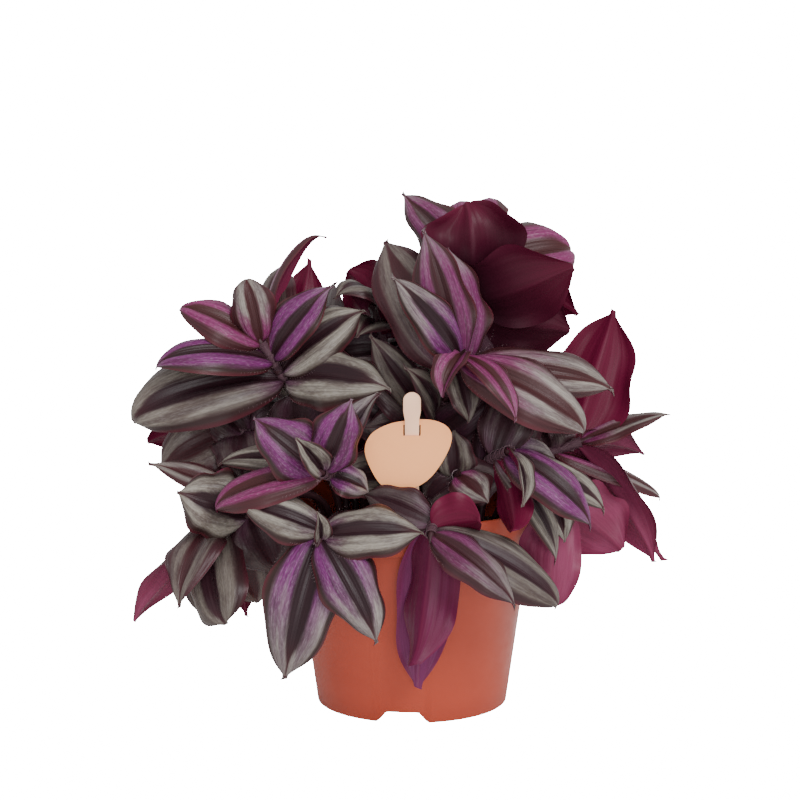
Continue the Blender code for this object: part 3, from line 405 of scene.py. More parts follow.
floor_tree = new_tree("pale_floor")
floor_seen = add_node(floor_tree, "ShaderNodeLightPath", {}, "Is Camera Ray")[0]
floor_patch = patches(object_place(floor_tree), 3.0)
dress(floor_tree, Base_Color=mix(floor_patch, "#F6F5F4", "#F9F8F7"), Roughness=0.9,
      Emission_Strength=floor_seen * FLOOR_GLOW, Emission_Color=WHITE)
floor_mesh = bpy.data.meshes.new("floor")
floor_mesh.from_pydata(turned(FLOOR_REACH, 0.0, turns(FLOOR_SIDES)).tolist(), [], [range(FLOOR_SIDES)])
floor_mesh.materials.append(MATERIALS["pale_floor"])
floor = placed("floor", floor_mesh)

world = bpy.data.worlds.new("white_room")
world.use_nodes = True
put(world.node_tree.nodes["Background"].inputs["Color"], WHITE)
put(world.node_tree.nodes["Background"].inputs["Strength"], WORLD_STRENGTH)
bpy.context.scene.world = world

for sun_name, strength, toward, softness in SUNS:
    sun = bpy.data.lights.new(sun_name, "SUN")
    sun.energy = strength
    sun.angle = math.radians(softness)
    x, y, z = unit(toward)
    placed(sun_name, sun).rotation_euler = (math.acos(-z), 0.0, math.atan2(y, x) - math.pi / 2)
print("floor", FLOOR_REACH, "m, world", WORLD_STRENGTH, "suns", [strength for _, strength, _, _ in SUNS])

# %% [markdown]
# ## Pot plastic
#
# The pot is thin moulded plastic in a terracotta colour. Real ones are satin, a little uneven in tone where
# the plastic flowed, and carry faint scuffs. Noise in the object's own space gives all three without a seam.

# %% Pot material
pot_tree = new_tree("pot_plastic")
pot_at = object_place(pot_tree)
pot_flow = noise(pot_at, 14.0)
pot_patch = patches(pot_at, 34.0)
# The lowest 12 mm of the pot are mixed darker, towards the foot.
pot_foot = 1.0 - step(split(pot_at)[2], 0.0, 0.012)
pot_colour = mix(pot_patch * 0.25, mix(pot_flow, "#9C3C28", "#A4422E"), "#923622")
dress(pot_tree, Base_Color=mix(pot_foot * 0.35, pot_colour, "#84321F"), Roughness=pot_patch * 0.14 + 0.34,
      Specular_IOR_Level=0.3, Normal=bumped(noise(pot_at, 1600.0, 2.0) * 0.5 + pot_flow, 0.25, 0.0002))
print("pot nodes:", len(pot_tree.nodes))

# %% [markdown]
# ## Pot
#
# A turned shape: one profile, carried round the axis. Each corner of the profile is rounded by a small curve
# first, since moulded plastic has no sharp edges. The foot ring is lifted where its notches are. The drain
# holes are cut with cylinders at the end, because holes off the axis can't come from turning.

# %% Pot shape
POT_PROFILE = (
    (0, 1.4), (17.0, 1.4), (19.4, 6.8), (44.36, 6.8), (54.96, 82.0), (57.6, 84.0), (58.6, 97.0), (60.0, 97.0),
    (59.0, 82.0), (56.16, 82.0), (44.76, 0.0), (42.2, 0.0), (42.0, 5.5), (20.4, 5.5), (18.0, 0.0), (0, 0.0),
)
POT_CORNER = 0.55
CORNER_STEPS = 4
POT_TURNS = 180
FOOT_RADIUS = 44.6
FOOT_INSIDE = 41.0
NOTCHES = np.radians((-96.0, 24.0, 144.0))
NOTCH_HALF_WIDTHS = (12.0, 7.5)
NOTCH_HEIGHT = 5.2


def rounded_corners(profile, radius):
    """Each corner replaced by a curve from radius before it to radius after it, pulled to the corner."""
    points = np.array(profile, dtype=float)
    corners = points[1:-1]
    sides = (points[:-2] - corners, points[2:] - corners)
    shorter = np.minimum(*(np.linalg.norm(side, axis=1) for side in sides))
    reach = np.minimum(radius, 0.45 * shorter)[:, None]
    first, last = (corners + unit(side) * reach for side in sides)
    t = np.linspace(0.0, 1.0, CORNER_STEPS)[:, None]
    curves = (1 - t) ** 2 * first[:, None] + 2 * t * (1 - t) * corners[:, None] + t ** 2 * last[:, None]
    return np.vstack((points[:1], curves.reshape(-1, 2), points[-1:]))


def notch_lift(turn):
    """How high the foot is lifted at an angle: 0, rising in a slope to the flat top of each notch."""
    away = np.abs((turn - NOTCHES[:, None] + math.pi) % (2 * math.pi) - math.pi) * FOOT_RADIUS
    slope = (NOTCH_HALF_WIDTHS[0] - away) / (NOTCH_HALF_WIDTHS[0] - NOTCH_HALF_WIDTHS[1])
    return np.clip(slope, 0.0, 1.0).max(axis=0) * NOTCH_HEIGHT


pot_radius, pot_height = np.hsplit(rounded_corners(POT_PROFILE, POT_CORNER), 2)
foot_ring = (pot_radius > FOOT_INSIDE) & (pot_height < NOTCH_HEIGHT)
pot_height = np.where(foot_ring, np.maximum(pot_height, notch_lift(turns(POT_TURNS))), pot_height)
pot = new_piece("pot", without_poles(turned(pot_radius, pot_height, turns(POT_TURNS)) * MM, flip=True),
                ["pot_plastic"], "nursery_pot", smooth_angle=50.0)

# %% [markdown]
# ## Drain holes
#
# A nursery pot drains through a ring of holes in its raised floor. A Boolean modifier for each hole is taken
# into the mesh, because the cylinders that cut the holes can't stay in the scene.

# %% Drain holes
DRAIN_COUNT = 6
DRAIN_RING_RADIUS = 31.0
DRAIN_RADIUS = 3.5
DRAIN_SIDES = 32
DRAIN_MIDDLE = 6.0
DRAIN_DEPTH = 6.0

cutters = []
for place in turned(DRAIN_RING_RADIUS, DRAIN_MIDDLE, turns(DRAIN_COUNT) + math.pi / DRAIN_COUNT):
    bpy.ops.mesh.primitive_cylinder_add(
        vertices=DRAIN_SIDES, radius=DRAIN_RADIUS * MM, depth=DRAIN_DEPTH * MM, location=place * MM)
    cutters.append(bpy.context.active_object)
    cut = pot.modifiers.new("Drain", "BOOLEAN")
    cut.operation = "DIFFERENCE"
    cut.object = cutters[-1]
bpy.context.view_layer.update()
cut_mesh = bpy.data.meshes.new_from_object(pot.evaluated_get(bpy.context.evaluated_depsgraph_get()))
pot.modifiers.clear()
pot.data = cut_mesh
for cutter in cutters:
    bpy.data.objects.remove(cutter, do_unlink=True)
print("pot:", len(pot.data.polygons), "faces with", DRAIN_COUNT, "holes")

# %% [markdown]
# ## Soil
#
# Potting soil is dark peat with lumps and a few pale fibres. Only glimpses of it show between the leaves, so
# a lumpy disc with loose crumbs on it is enough. Its lumps are a sum of waves.

# %% Soil material and shape
soil_tree = new_tree("damp_soil")
soil_fine = noise(object_place(soil_tree), 700.0, 6.0, 0.7)
soil_ramp = soil_tree.nodes.new("ShaderNodeValToRGB")
soil_ramp.color_ramp.elements.new(0.5)
for element, (share, colour) in zip(soil_ramp.color_ramp.elements, (
        (0.3, "#1C1412"), (0.55, "#30231D"), (0.72, "#4E3C30"))):
    element.position = share
    element.color = paint(colour)
put(soil_ramp.inputs["Fac"], soil_fine)
dress(soil_tree, Base_Color=Value(soil_ramp.outputs["Color"]), Roughness=0.95, Specular_IOR_Level=0.2,
      Normal=bumped(soil_fine, 0.8, 0.0012))

SOIL_TOP = 79.3
SOIL_BOTTOM = 7.1
SOIL_RIM = 54.28
SOIL_FOOT = 44.2
SOIL_RINGS = 34
SOIL_TURNS = 96


def soil_lumps(x, y):
    """Height above the soil's level at a place in mm: three crossed waves of falling length and height."""
    broad = np.sin(x * 0.11 + 0.6) * np.cos(y * 0.13 - 0.4)
    middle = np.sin(x * 0.37 - y * 0.21) * np.cos(y * 0.33 + 1.1)
    small = np.sin(x * 0.9 + y * 0.5) * np.sin(y * 1.1 - x * 0.3)
    return 0.6 * broad + 0.5 * middle + 0.4 * small - 0.6


soil_radius = np.append(np.linspace(0.0, SOIL_RIM, SOIL_RINGS), (SOIL_FOOT, 0.0))[:, None]
soil_level = np.array([SOIL_TOP] * SOIL_RINGS + [SOIL_BOTTOM] * 2)[:, None]
soil_grid = turned(soil_radius, soil_level, turns(SOIL_TURNS))
soil_grid[:SOIL_RINGS, :, 2] += soil_lumps(soil_grid[:SOIL_RINGS, :, 0], soil_grid[:SOIL_RINGS, :, 1])
soil_shape = without_poles(soil_grid * MM, flip=True)
new_piece("soil", soil_shape, ["damp_soil"], "potting_soil", smooth_angle=60.0)

# %% [markdown]
# ## Crumbs
#
# Loose crumbs lie on real soil. Each is a round lump of a few faces, stretched by its own size and roughened
# corner by corner. All are one mesh, since hundreds of objects would be slow.

# %% Soil crumbs
CRUMB_COUNT = 420
CRUMB_SIDES = 6
CRUMB_SIZES = (0.5, 1.9)
CRUMB_ROUGHNESS = 0.22
CRUMB_EDGE = 3.0
MOST_BUMP = 1.5

tilt = np.linspace(-math.pi / 2, math.pi / 2, CRUMB_SIDES)[:, None]
crumb_points, crumb_faces = without_poles(turned(np.cos(tilt), np.sin(tilt), turns(CRUMB_SIDES)))
crumb_draw = np.random.default_rng(11)
crumb_reach = (SOIL_RIM - CRUMB_EDGE) * np.sqrt(crumb_draw.random(CRUMB_COUNT))
crumb_at = turned(crumb_reach, SOIL_TOP, crumb_draw.random(CRUMB_COUNT) * 2 * math.pi)
crumb_at[:, 2] += soil_lumps(crumb_at[:, 0], crumb_at[:, 1])
crumb_size = crumb_draw.uniform(*CRUMB_SIZES, (CRUMB_COUNT, 1, 3))
crumb_bumps = crumb_draw.standard_normal((CRUMB_COUNT, len(crumb_points), 1)).clip(-MOST_BUMP, MOST_BUMP)
crumbs = crumb_at[:, None] + crumb_points * crumb_size * (1.0 + CRUMB_ROUGHNESS * crumb_bumps)
crumb_starts = range(0, CRUMB_COUNT * len(crumb_points), len(crumb_points))
all_faces = [[index + start for index in face] for face in crumb_faces for start in crumb_starts]
crumb_shape = (crumbs.reshape(-1, 3) * MM, all_faces)
new_piece("soil_crumbs", crumb_shape, ["damp_soil"], None, smooth_angle=30.0)

# %% [markdown]
# ## Label boards
#
# The label is a rounded card with a slit, pushed over a flat stick. Both are uncoated board: matt, with a
# faint fibre that runs level. Streaks read along the board give the fibre, in the colour and as a low
# relief.

# %% Card materials
for board, pale, deep in (("peach_board", "#FAAE75", "#F09D65"), ("pale_board", "#FFD4B2", "#FFC5A1")):
    board_tree = new_tree(board)
    board_at = object_place(board_tree)
    board_x, _, board_z = split(board_at)
    fibre = streaks(board_z, board_x, 2600.0, 500.0)
    dress(board_tree, Base_Color=mix(fibre * 0.5 + noise(board_at, 60.0) * 0.5, pale, deep), Roughness=0.7,
          Specular_IOR_Level=0.15, Normal=bumped(fibre, 0.3, 0.00008))
print("boards:", [name for name in MATERIALS if name.endswith("board")])

# %% [markdown]
# ## Card
#
# The card is left bare. It is a ring, from the slit's edge out to the card's edge and back behind, so one
# grid closed both ways makes it. Its outline is a smooth loop through a dozen corners.

# %% Card shape
CARD_OUTLINE = (
    (-22.4, 116.0), (-20.0, 124.5), (-12.5, 129.4), (-3.0, 131.6), (8.0, 132.1), (16.0, 129.4), (19.0, 124.0),
    (16.5, 115.5), (9.0, 104.6), (0.0, 99.0), (-9.0, 98.0), (-16.5, 103.0),
)
CARD_STEPS = 14
SLIT_AT = (0.0, 127.0)
SLIT_FRONT = 52.0
SLIT_HALF = (3.9, 2.45)
CARD_THICKNESS = 0.6
CARD_SECTION = np.array((
    (0.0, 1.0), (0.35, 1.0), (0.7, 1.0), (0.992, 1.0), (0.998, 0.8), (1.0, 0.4), (1.0, -0.4), (0.998, -0.8),
    (0.992, -1.0), (0.7, -1.0), (0.35, -1.0), (0.0, -1.0),
))
CARD_PLANE = np.stack((RIGHTWARD, UPWARD))
card_centre = sight(*SLIT_AT, SLIT_FRONT)


def on_card(across, up):
    """Where the card's plane, through the slit and facing the viewer, is seen at (across, up)."""
    near = sight(across, up, 0.0)
    ray = sight(across, up, 100.0) - near
    point = near + ray * np.dot(card_centre - near, FORWARD) / np.dot(ray, FORWARD)
    return (point - card_centre) @ CARD_PLANE.T / MM


def smooth_loop(corners, steps):
    """A closed curve through the corners, each span a cubic with its slopes from the corners either side."""
    here = np.asarray(corners)[:, None]
    before, after, beyond = (np.roll(here, places, axis=0) for places in (1, -1, -2))
    t = np.linspace(0.0, 1.0, steps, endpoint=False)[None, :, None]
    spans = 0.5 * (2 * here + (after - before) * t + (2 * before - 5 * here + 4 * after - beyond) * t ** 2
                   + (3 * here - before - 3 * after + beyond) * t ** 3)
    return spans.reshape(-1, 2)


card_edge = smooth_loop([on_card(*corner) for corner in CARD_OUTLINE], CARD_STEPS)
card_way = unit(card_edge)
card_slit = card_way * (SLIT_HALF / np.maximum(np.abs(card_way), 1e-6)).min(axis=1, keepdims=True)
card_out, card_side = CARD_SECTION.T[:, :, None, None]
card_flat = card_slit + (card_edge - card_slit) * card_out
card_points = card_centre + (card_flat @ CARD_PLANE - card_side * CARD_THICKNESS / 2 * FORWARD) * MM
card_shape = (card_points.reshape(-1, 3), ring_faces(*card_points.shape[:2], wrap=True))
new_piece("card", card_shape, ["peach_board"], "label_card", smooth_angle=35.0)

# %% [markdown]
# ## Stick
#
# The stick is one flat strip with a round top, a narrower neck through the slit and a point that stands in
# the soil. One rounded section is repeated up the strip at the half width of each height, and both ends are
# closed.

# %% Stick shape
STICK_LEAN = math.radians(12.0)
STICK_UP = np.array((0.0, -math.sin(STICK_LEAN), math.cos(STICK_LEAN)))
STICK_OUT = np.array((0.0, -math.cos(STICK_LEAN), -math.sin(STICK_LEAN)))
STICK_HALF = 4.0
STICK_NECK_HALF = 3.25
STICK_POINT_HALF = 0.8
STICK_TOP = 18.5
HEAD_ROWS = 14
STICK_NECK = (-70.0, 5.0)
NECK_ROWS = np.linspace(-66.0, 4.5, 20)
STICK_SHOULDER = 9.5
STICK_BOTTOM = -78.0
STICK_THICKNESS = 0.8
STICK_SECTION = np.array((
    (-0.94, 1.0), (0.94, 1.0), (0.985, 0.75), (1.0, 0.3), (1.0, -0.3), (0.985, -0.75),
    (0.94, -1.0), (-0.94, -1.0), (-0.985, -0.75), (-1.0, -0.3), (-1.0, 0.3), (-0.985, 0.75),
))

head_rise = np.sin(np.linspace(0.0, math.pi / 2, HEAD_ROWS))
head_rows = STICK_TOP - STICK_HALF + STICK_HALF * head_rise
stick_rows = np.concatenate(([STICK_BOTTOM, STICK_NECK[0]], NECK_ROWS, [STICK_NECK[1], STICK_SHOULDER],
                             head_rows))
stick_half = np.interp(stick_rows, (STICK_BOTTOM, *STICK_NECK, STICK_SHOULDER),
                       (STICK_POINT_HALF, STICK_NECK_HALF, STICK_NECK_HALF, STICK_HALF))
stick_half[-len(head_rise):] *= np.sqrt(1 - head_rise ** 2)
stick_half = np.maximum(stick_half, 0.05)[:, None, None]
stick_across, stick_thick = STICK_SECTION.T[:, None, :, None]
stick_grid = card_centre + (stick_half * stick_across * RIGHTWARD + stick_rows[:, None, None] * STICK_UP
                            + STICK_THICKNESS / 2 * stick_thick * STICK_OUT) * MM
stick_ends = stick_grid[[0, -1]].mean(axis=1)
stick_shape = without_poles(with_ends(stick_grid, *stick_ends), flip=True)
new_piece("stick", stick_shape, ["pale_board"], "label_stick", smooth_angle=35.0)

# %% [markdown]
# ## Where the leaves are
#
# Each stem rises from its hole in the soil and ends in a growing tip. Its leaves sit alternately along it,
# and each is known by how far from the stem's tip it starts, where its own tip is seen, its width, the way
# its upper face looks, its arch, its shape and its tint, which gives its colouring and how much painted shade
# darkens it. Young leaves are purple or magenta, old ones silver.

# %% Listed stems
STEMS = {
    "front_star": dict(foot=(-20, -24), head=(-43, 107, 72), aim=(-0.3, -0.8, 0.35), leaves=[
        (6, (-76.5, 134, 66), 28, (-0.25, 0.45, 0.85), 0.12, "quilted", "purple"),
        (0, (-55.5, 123.5, 84), 13, (0.10, 0.45, 0.85), 0.06, "folded", "silver"),
        (2, (-28, 143, 68), 23, (-0.10, 0.25, 0.95), 0.10, "quilted", "purple"),
        (7, (-15, 146.5, 54), 15, (-0.25, 0.30, 0.90), 0.08, "folded", "lilac"),
        (5, (-94, 87, 82), 25, (-0.10, 0.85, 0.50), 0.15, "hooked", "magenta"),
        (22, (13, 107, 40), 26, (0.10, 0.45, 0.85), 0.04, "open", "olive"),
        (15, (-95, 110.5, 54), 18, (-0.10, 0.75, 0.35), 0.12, "open", "silver"),
        (10, (-20, 97, 62), 22, (0.10, 0.80, 0.50), 0.10, "open", "lilac"),
    ]),
    "front_low": dict(foot=(-24, -40), head=(-44, 75, 80), aim=(-0.2, -0.8, -0.5), leaves=[
        (6, (-61, 5.5, 84), 34, (-0.20, 0.20, 0.95), 0.10, "open", "lilac"),
        (2, (-16, 23.5, 90), 27, (0.30, 0.30, 0.90), 0.13, "quilted", "lilac"),
        (3, (7.5, 78, 80), 26, (0.00, 0.50, 0.85), 0.14, "quilted", "silver"),
        (6, (-83, 92, 70), 23, (-0.10, 0.60, 0.80), 0.12, "quilted", "silver"),
        (0, (-45, 88.5, 88), 9, (0.30, 0.20, 0.90), 0.05, "folded", "silver"),
    ]),
    "front_mid": dict(foot=(16, -40), head=(9, 77, 76), aim=(-0.1, -0.8, -0.5), leaves=[
        (2, (1, 14, 86), 26, (0.25, -0.20, -0.90), 0.08, "rolled", "damson"),
        (7, (2, 2.5, 76), 27, (0.05, -0.20, -0.95), 0.06, "cupped", "plum"),
        (3, (70, 41, 72), 31, (0.20, 0.75, 0.50), 0.12, "hooked", "olive"),
        (1, (51, 41.5, 82), 22, (0.20, 0.60, 0.75), 0.14, "quilted", "heather"),
        (5, (33, 84, 78), 22, (-0.15, 0.35, -0.90), 0.10, "rolled", "wine"),
        (9, (-24, 97, 56), 20, (-0.10, 0.50, 0.85), 0.08, "open", "dusk"),
    ]),
    "front_inner": dict(foot=(14, -18), head=(22, 106, 48), aim=(0.15, -0.7, 0.4), leaves=[
        (2, (37, 92, 58), 20, (0.35, 0.30, 0.90), 0.10, "open", "wine"),
        (5, (5, 92, 48), 24, (-0.20, 0.45, 0.85), 0.12, "open", "dusk"),
        (6, (20, 128, 44), 20, (-0.10, 0.30, 0.90), 0.10, "open", "olive"),
        (9, (46, 104, 44), 22, (0.30, 0.45, 0.85), 0.12, "open", "dusk"),
    ]),
    "centre_high": dict(foot=(10, -8), head=(24, 163, 52), aim=(0.2, -0.75, 0.6), leaves=[
        (8, (4.5, 225, 48), 25, (0.15, 0.25, 0.95), 0.10, "quilted", "orchid"),
        (5, (-11, 201.5, 52), 20, (0.25, 0.45, 0.85), 0.10, "quilted", "lilac"),
        (0, (14, 142, 68), 16, (-0.30, 0.40, 0.85), 0.14, "folded", "magenta"),
        (2, (50.5, 130, 72), 15, (0.50, 0.60, 0.60), 0.18, "open", "magenta"),
        (8, (82.5, 123, 58), 32, (0.25, 0.65, 0.70), 0.18, "hooked", "rosy"),
        (12, (17, 216, 40), 34, (0.35, 0.20, 0.90), 0.08, "open", "orchid"),
        (14, (-14, 220, 14), 34, (-0.20, 0.20, 0.95), 0.12, "open", "russet"),
        (20, (99, 145, 34), 28, (0.20, 0.60, 0.75), 0.16, "quilted", "rosy"),
        (14, (27.5, 129.5, 52), 16, (0.20, 0.50, 0.80), 0.12, "open", "olive"),
    ]),
    "top": dict(foot=(14, 8), head=(31, 210, 22), aim=(0.15, -0.25, 0.95), leaves=[
        (15, (26, 235, 22), 46, (-0.15, 0.10, -0.95), -0.30, "arched", "garnet"),
        (23, (78, 207, 42), 44, (0.10, 0.30, -0.92), -0.12, "cupped", "garnet"),
        (28, (76, 175, 30), 46, (0.15, 0.20, -0.95), -0.08, "cupped", "shadow"),
        (6, (-6, 241, 14), 23, (-0.10, 0.30, 0.95), 0.07, "quilted", "orchid"),
        (3, (30, 226, -14), 30, (0.00, 0.95, 0.30), 0.42, "arched", "magenta"),
        (8, (77, 211, 14), 35, (0.00, 0.60, 0.80), 0.19, "arched", "magenta"),
        (1, (51, 224, -2), 26, (0.20, 0.40, 0.90), 0.06, "open", "magenta"),
        (16, (81, 182, -2), 40, (0.25, 0.45, -0.80), 0.10, "open", "wine"),
        (26, (58, 160, -4), 40, (0.10, 0.40, 0.85), 0.12, "open", "murk"),
    ]),
    "left_high": dict(foot=(-22, -4), head=(-72, 169, 25), aim=(-0.4, -0.15, 0.9), leaves=[
        (22, (-134.5, 129, 30), 35, (0.00, 0.75, 0.65), 0.16, "arched", "pewter"),
        (22, (-8, 146, 44), 32, (0.15, 0.60, 0.75), 0.14, "quilted", "silver"),
        (12, (-124, 155, 40), 26, (-0.10, 0.80, 0.60), 0.18, "hooked", "purple"),
        (2, (-112, 184.5, 16), 24, (0.05, 0.75, 0.65), 0.15, "hooked", "magenta"),
        (0, (-79, 200, 24), 20, (0.00, 0.15, 0.95), 0.16, "arched", "rosy"),
        (8, (-39, 220, 0), 20, (-0.85, 0.45, -0.25), 0.19, "hooked", "magenta"),
        (10, (-37, 197, 30), 21, (-0.35, 0.40, 0.85), 0.14, "open", "purple"),
        (18, (-21, 185, 22), 28, (-0.35, 0.65, 0.65), 0.10, "quilted", "silver"),
        (14, (-48, 210, -12), 27, (0.30, 0.30, -0.90), 0.10, "open", "wine"),
        (14, (-62, 208, -10), 25, (-0.30, 0.30, 0.80), 0.10, "open", "russet"),
        (20, (-37, 200, -2), 34, (-0.10, 0.45, 0.80), 0.06, "open", "dusk"),
        (30, (-50, 118, 10), 32, (0.00, 0.30, 0.90), 0.08, "open", "murk"),
    ]),
    "right_low": dict(foot=(28, -24), head=(46, 117, 58), aim=(0.5, -0.7, 0.3), leaves=[
        (4, (87, 79, 64), 25, (0.35, 0.60, 0.70), 0.16, "quilted", "purple"),
        (1, (53, 90, 72), 12, (0.70, 0.30, 0.60), 0.10, "folded", "silver"),
        (8, (49, 78, 62), 17, (0.30, -0.20, -0.90), 0.12, "rolled", "wine"),
        (12, (70, 62, 58), 18, (0.30, 0.60, 0.70), 0.14, "open", "silver"),
        (15, (94, 87, 38), 18, (0.10, 0.70, 0.65), 0.14, "open", "silver"),
        (18, (70, 113, 34), 28, (0.40, 0.30, 0.85), 0.12, "open", "lilac"),
    ]),
    "right_out": dict(foot=(32, -2), head=(82, 122, 2), aim=(0.8, -0.1, 0.35), leaves=[
        (6, (97, 186, -12), 40, (0.20, 0.10, -0.95), 0.02, "open", "wine"),
        (2, (124, 136, 0), 20, (0.00, 0.90, 0.35), 0.02, "open", "rosy"),
        (8, (112, 116, -10), 25, (0.30, 0.30, -0.85), 0.10, "open", "mauve"),
        (4, (117, 63, 14), 31, (0.60, 0.45, -0.65), 0.04, "open", "mauve"),
        (12, (121, 65, -4), 20, (0.50, 0.20, -0.80), 0.02, "open", "mauve"),
        (16, (119.5, 93.5, -20), 18, (0.20, 0.85, 0.20), 0.06, "hooked", "mauve"),
        (18, (62, 128, -4), 28, (-0.20, 0.30, 0.90), 0.10, "open", "dusk"),
    ]),
    "right_under": dict(foot=(38, -12), head=(73, 92, 26), aim=(0.6, -0.3, -0.35), leaves=[
        (4, (66, 41, 42), 30, (-0.10, 0.20, -0.95), 0.06, "cupped", "mauve"),
        (8, (101, 69, 18), 36, (0.30, 0.20, -0.90), 0.10, "cupped", "mauve"),
        (10, (73, 73, 44), 16, (0.30, 0.50, 0.75), 0.12, "open", "silver"),
    ]),
    "left_low": dict(foot=(-38, -12), head=(-80, 85, 44), aim=(-0.8, -0.4, -0.5), leaves=[
        (12, (-127, 112.5, 30), 17, (0.00, 0.90, 0.35), 0.02, "open", "rosy"),
        (3, (-113, 98, 54), 33, (-0.30, 0.35, 0.90), 0.06, "quilted", "silver"),
        (4, (-64, 59, 42), 36, (0.10, 0.30, 0.90), 0.12, "open", "dusk"),
        (16, (-97, 108, 24), 26, (-0.20, 0.40, 0.85), 0.12, "open", "dusk"),
    ]),
    "left_under": dict(foot=(-42, 2), head=(-98, 78, 34), aim=(-0.8, -0.2, -0.3), leaves=[
        (2, (-134.5, 35.5, 44), 33, (-0.60, 0.55, -0.55), 0.00, "cupped", "mauve"),
        (3, (-88, 33, 56), 34, (-0.45, 0.20, 0.85), 0.12, "arched", "olive"),
        (6, (-112, 41, 48), 26, (-0.35, 0.30, 0.85), 0.10, "open", "russet"),
        (5, (-100, 37, 50), 27, (-0.10, 0.20, 0.95), 0.12, "open", "olive"),
        (9, (-73, 43, 40), 32, (0.20, 0.35, 0.90), 0.12, "open", "russet"),
        (12, (-79, 37, 24), 20, (0.10, 0.20, -0.95), 0.10, "open", "wine"),
    ]),
    "left_mid": dict(foot=(-34, 2), head=(-88, 128, 10), aim=(-0.8, -0.1, 0.35), leaves=[
        (4, (-121, 109, 16), 34, (-0.50, 0.30, 0.85), 0.12, "open", "russet"),
        (8, (-128, 122, -4), 34, (-0.30, 0.30, -0.85), 0.12, "cupped", "wine"),
        (7, (-80, 102, 36), 26, (-0.10, 0.30, 0.90), 0.12, "open", "dusk"),
        (12, (-52, 132, 2), 34, (0.10, 0.30, 0.90), 0.10, "open", "dusk"),
        (10, (-102, 143, 6), 26, (-0.20, 0.50, 0.80), 0.10, "open", "dusk"),
    ]),
    "centre_back": dict(foot=(-8, 8), head=(-16, 180, -4), aim=(-0.2, -0.3, 0.9), leaves=[
        (5, (-38, 189, 22), 28, (-0.20, 0.80, 0.50), 0.30, "hooked", "olive"),
        (10, (-27, 171, 34), 20, (0.00, 0.80, 0.60), 0.20, "open", "olive"),
        (2, (-31, 204, -22), 38, (0.10, 0.50, -0.80), 0.10, "cupped", "wine"),
        (8, (-2, 193, 10), 22, (0.20, 0.60, 0.75), 0.14, "open", "dusk"),
        (16, (-44, 161, -12), 30, (-0.10, 0.40, 0.85), 0.10, "open", "murk"),
    ]),
    "middle": dict(foot=(-4, -10), head=(10, 138, 22), aim=(0.1, -0.4, 0.9), leaves=[
        (6, (-21, 174, 24), 20, (-0.30, 0.50, 0.80), 0.14, "open", "olive"),
        (8, (-4, 158, 38), 18, (0.00, 0.60, 0.75), 0.14, "open", "olive"),
        (14, (-24, 128, 32), 24, (-0.20, 0.40, 0.85), 0.14, "open", "dusk"),
        (12, (44, 150, 24), 26, (0.30, 0.50, 0.80), 0.14, "open", "murk"),
        (16, (-46, 143, 16), 28, (-0.10, 0.40, 0.85), 0.10, "open", "dusk"),
        (9, (-30, 163, 10), 26, (-0.20, 0.40, 0.85), 0.10, "open", "dusk"),
        (18, (-12, 146, 10), 28, (0.00, 0.40, 0.85), 0.10, "open", "dusk"),
    ]),
}
print(len(STEMS), "stems and", sum(len(stem["leaves"]) for stem in STEMS.values()), "leaves set by hand")

# %% [markdown]
# ## Stems set by rule
#
# The stems at the sides and the back, and the leaves behind the front stems, follow rules instead: a turn of
# 137.5 degrees from leaf to leaf, as in the real plant, and seeded draws for what varies. Each stem is one
# cubic curve, which rises from its hole and leans over to its tip.

# %% Stem lines
BACK_STEMS = (
    (26.0, 80.0, 104.0, 7), (46.0, 80.0, 146.0, 7), (72.0, 60.0, 176.0, 7), (80.0, 90.0, 104.0, 7),
    (104.0, 84.0, 142.0, 7), (128.0, 60.0, 178.0, 7), (142.0, 88.0, 104.0, 7), (158.0, 74.0, 146.0, 6),
    (118.0, 38.0, 162.0, 6),
)
BACK_FOOT_RADIUS = 34.0
FULL_FOOT_REACH = 75.0
HIGH_STEM = 130.0
HIGH_AIM = 0.9
STEM_ROOT_TOP = 84.0
STEM_HOLE_BOTTOM = 55.6
STEM_RISE = 0.50
STEM_COME = 0.40


def bezier(corners, shares):
    """Points along a cubic curve with these four corners, at these shares of it."""
    t = np.asarray(shares)[:, None]
    weights = ((1 - t) ** 3, 3 * t * (1 - t) ** 2, 3 * t * t * (1 - t), t ** 3)
    return sum(weight * corner for weight, corner in zip(weights, corners))


def stem_line(foot, head, aim, steps=6):
    """A stem's middle line: up from its hole, then over in one cubic curve to its growing tip."""
    start = np.array((*foot, STEM_ROOT_TOP)) * MM
    reach = np.linalg.norm(head - start)
    rise = start + np.array((0.0, 0.0, STEM_RISE * reach))
    come = head - unit(aim) * STEM_COME * reach
    curve = bezier((start, rise, come, head), np.linspace(0.0, 1.0, steps + 1))
    return np.vstack(((*start[:2], STEM_HOLE_BOTTOM * MM), curve))


stem_ends = {name: (stem["foot"], sight(*stem["head"]), stem["aim"]) for name, stem in STEMS.items()}
for number, (side_angle, reach, height, _) in enumerate(BACK_STEMS, 1):
    way = turned(1.0, 0.0, math.radians(side_angle))[:2]
    foot = BACK_FOOT_RADIUS * min(1.0, reach / FULL_FOOT_REACH) * way
    head = np.array((*reach * way, height)) * MM
    stem_ends[f"back_{number}"] = (foot, head, (*way, HIGH_AIM if height > HIGH_STEM else 0.0))
stem_lines = {name: stem_line(*ends) for name, ends in stem_ends.items()}
print(len(stem_lines), "stems")

# %% [markdown]
# ## The blade's surface
#
# A leaf is a surface of two parameters. u runs from its base to its tip along the midrib, a cubic curve that
# arches up and comes down at the tip. v runs across from margin to margin. The half width over u is a
# product of two powers, one that rounds the base and one that draws out the tip, and over v the two halves
# rise from the midrib and droop to their margins like a gull's wings.

